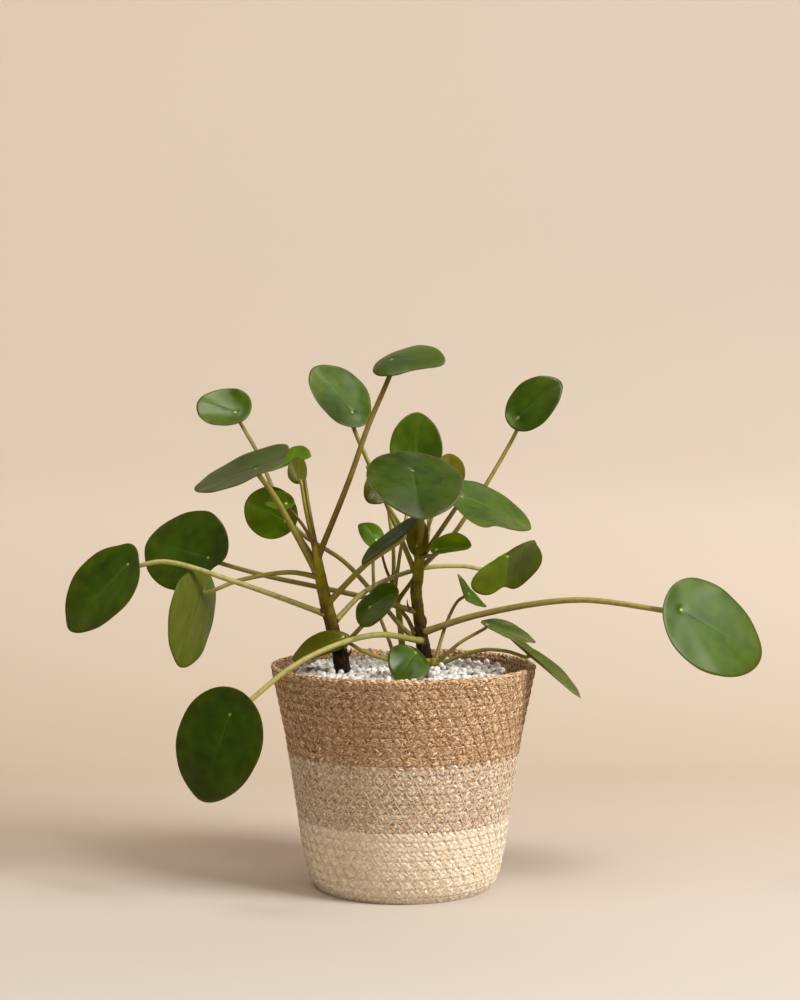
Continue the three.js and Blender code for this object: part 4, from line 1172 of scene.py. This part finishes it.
# Dry stipule: thin dead skin that has shrunk as it dried, matt, with red-brown patches 1.4 mm wide.
dry_skin = crumbly("dry_stipule", crumb=1.4, detail=3, fineness=0.5, dark="#2a170c", light="#6c3c20",
                   relief=0.0002, roughness=0.75)
for stem_name in ("stem_left", "stem_right", "stem_middle"):
    scales = [stipule_mesh(*values) for owner, *values in stipules if owner == stem_name]
    dry = put_mesh(stem_name.replace("stem", "stipules"), np.concatenate(scales),
                   joined_faces(scales, stipule_sides), dry_skin)
    stand_for_stem(dry, stem_name)


# Studio. A seamless sheet of pale paper runs from under the basket up behind it. One large soft light
# stands to the right and front, with weak fills at the front and the left and a soft sky.
sweep_depth, sweep_bend, sweep_height, sweep_half, sweep_front = 420.0, 280.0, 2400.0, 2600.0, -1100.0
drift_size = 400
bend_turn = np.linspace(0, 0.5 * np.pi, 24)
bend_line = np.stack([sweep_depth + sweep_bend * np.sin(bend_turn),
                      sweep_bend * (1 - np.cos(bend_turn))], -1)
sweep_line = np.concatenate([[[sweep_front, 0.0]], bend_line, [[sweep_depth + sweep_bend, sweep_height]]])
sweep_points = np.concatenate([np.stack([np.full(len(sweep_line), x), *sweep_line.T], -1)
                               for x in (-sweep_half, sweep_half)])
sweep_step = np.arange(len(sweep_line) - 1)
sweep_faces = np.stack([sweep_step, sweep_step + len(sweep_line), sweep_step + len(sweep_line) + 1,
                        sweep_step + 1], -1)

# Backdrop paper: uncoated, dyed and rolled, so it is matt and even. Its tone drifts over 400 mm. On top
# of that, light is painted into it: it is greyer on the front of the floor and warmer at the back and up
# the wall, darker at the top, and deeper on the right towards the lamp, which is painted shade. It is left
# open from behind, so that the plant's back can be seen.
paper = new_material("backdrop_paper")
paper_here = add_node(paper, "TexCoord", output="Object")
paper_across, paper_depth, paper_height = add_node(paper, "SeparateXYZ", {0: paper_here}).node.outputs
# Painted light: the floor warms towards the back, the wall is lighter, and the top is darker.
paper_back_painted_light = add_node(paper, "MapRange", {"Value": paper_depth, "From Min": -0.3, "From Max": 0.4})
paper_colour = add_node(paper, "Mix", {0: paper_back_painted_light, 6: "#c6c1ba", 7: "#c6b8a7"})
paper_wall_painted_light = add_node(paper, "MapRange", {"Value": paper_height, "From Min": 0.02, "From Max": 0.22})
paper_colour = add_node(paper, "Mix", {0: paper_wall_painted_light, 6: paper_colour, 7: "#dacfc0"})
paper_top_painted_shade = add_node(paper, "MapRange", {"Value": paper_height, "From Min": 0.3, "From Max": 0.75})
paper_colour = add_node(paper, "Mix", {0: paper_top_painted_shade, 6: paper_colour, 7: "#d0c4b5"})
# Painted shade: the paper greys towards the right, where the key light falls, less so near the floor.
paper_painted_shade_right = add_node(paper, "MapRange", {
    "Value": paper_across, "From Min": -0.4, "From Max": 0.4, "To Max": 0.29})
paper_shade_with_height = add_node(paper, "MapRange", {"Value": paper_height, "From Max": 0.5, "To Min": 0.2})
paper_painted_shade_right = add_node(paper, "Math", {0: paper_painted_shade_right, 1: paper_shade_with_height}, operation="MULTIPLY")
paper_colour = add_node(paper, "Mix", {0: paper_painted_shade_right, 6: paper_colour, 7: "#7c787c"})
paper_drift = add_node(paper, "TexNoise", {"Vector": paper_here, "Scale": 1000 / drift_size, "Detail": 2})
paper_drift = add_node(paper, "MapRange", {"Value": paper_drift, "To Max": 0.08})
paper_colour = add_node(paper, "Mix", {0: paper_drift, 6: paper_colour, 7: "#b5a084"})
paper_shader = add_node(paper, "BsdfPrincipled", {"Base Color": paper_colour, "Roughness": 0.9,
                                                  "Specular IOR Level": 0.2})
paper_behind = add_node(paper, "NewGeometry", output="Backfacing")
paper_open = add_node(paper, "BsdfTransparent")
paper_shader = add_node(paper, "MixShader", {0: paper_behind, 1: paper_shader, 2: paper_open})
add_node(paper, "OutputMaterial", {"Surface": paper_shader})
sweep = put_mesh("backdrop", sweep_points, [sweep_faces], paper)


def soft_light(name, place, aim, size, power, colour):
    """A square area light turned towards its aim. Places and size are in millimetres, power in watts."""
    light = bpy.data.lights.new(name, "AREA")
    light.size = size * 0.001
    light.energy = power
    light.color = linear(colour)[:3]
    lamp = bpy.data.objects.new(name, light)
    bpy.context.scene.collection.objects.link(lamp)
    lamp.location = np.array(place) * 0.001
    down = unit(np.array(place, float) - np.array(aim, float))
    side = unit(np.cross([0.0, 0.0, 1.0], down))
    lamp.rotation_mode = "QUATERNION"
    turn = np.stack([side, np.cross(down, side), down], -1)
    lamp.rotation_quaternion = Matrix(turn.tolist()).to_quaternion()
    return lamp


soft_light("key", (1670, -1085, 1790), (0, 0, 120), 1000, 82, "#fffdfa")
soft_light("front_fill", (-700, -1450, 1240), (0, 0, 200), 800, 4.5, "#fff3e2")
soft_light("left_fill", (-600, -420, 1840), (0, 0, 200), 600, 6.5, "#fff3e2")

# Two more lamps show only as reflections in the waxed blades, as windows do. Each has its place, size
# and power.
windows = (
    ("side_window", (701, 124, 1849), 680, 9.5),
    ("roof_window", (-500, -110, 2060), 560, 12),
)
for window_name, window_place, window_size, window_power in windows:
    window = soft_light(window_name, window_place, (0, 0, 250), window_size, window_power, "#fffefa")
    window.visible_diffuse = False

sky = bpy.data.worlds.new("studio_sky")
bpy.context.scene.world = sky
sky.use_nodes = True
sky.node_tree.nodes["Background"].inputs["Color"].default_value = linear("#ffefdc")
sky.node_tree.nodes["Background"].inputs["Strength"].default_value = 0.285
bpy.context.scene.view_settings.view_transform = "Standard"

camera_place = (-2.4, -1350.0, 318.0)
camera_pitch = 2.4
camera = bpy.data.cameras.new("photograph_camera")
camera.sensor_width = 36.0
camera.lens = 72.0
camera.clip_end = 20.0
photographer = bpy.data.objects.new("photograph_camera", camera)
bpy.context.scene.collection.objects.link(photographer)
photographer.location = np.array(camera_place) * 0.001
photographer.rotation_euler = (np.radians(90 - camera_pitch), 0, 0)
bpy.context.scene.camera = photographer
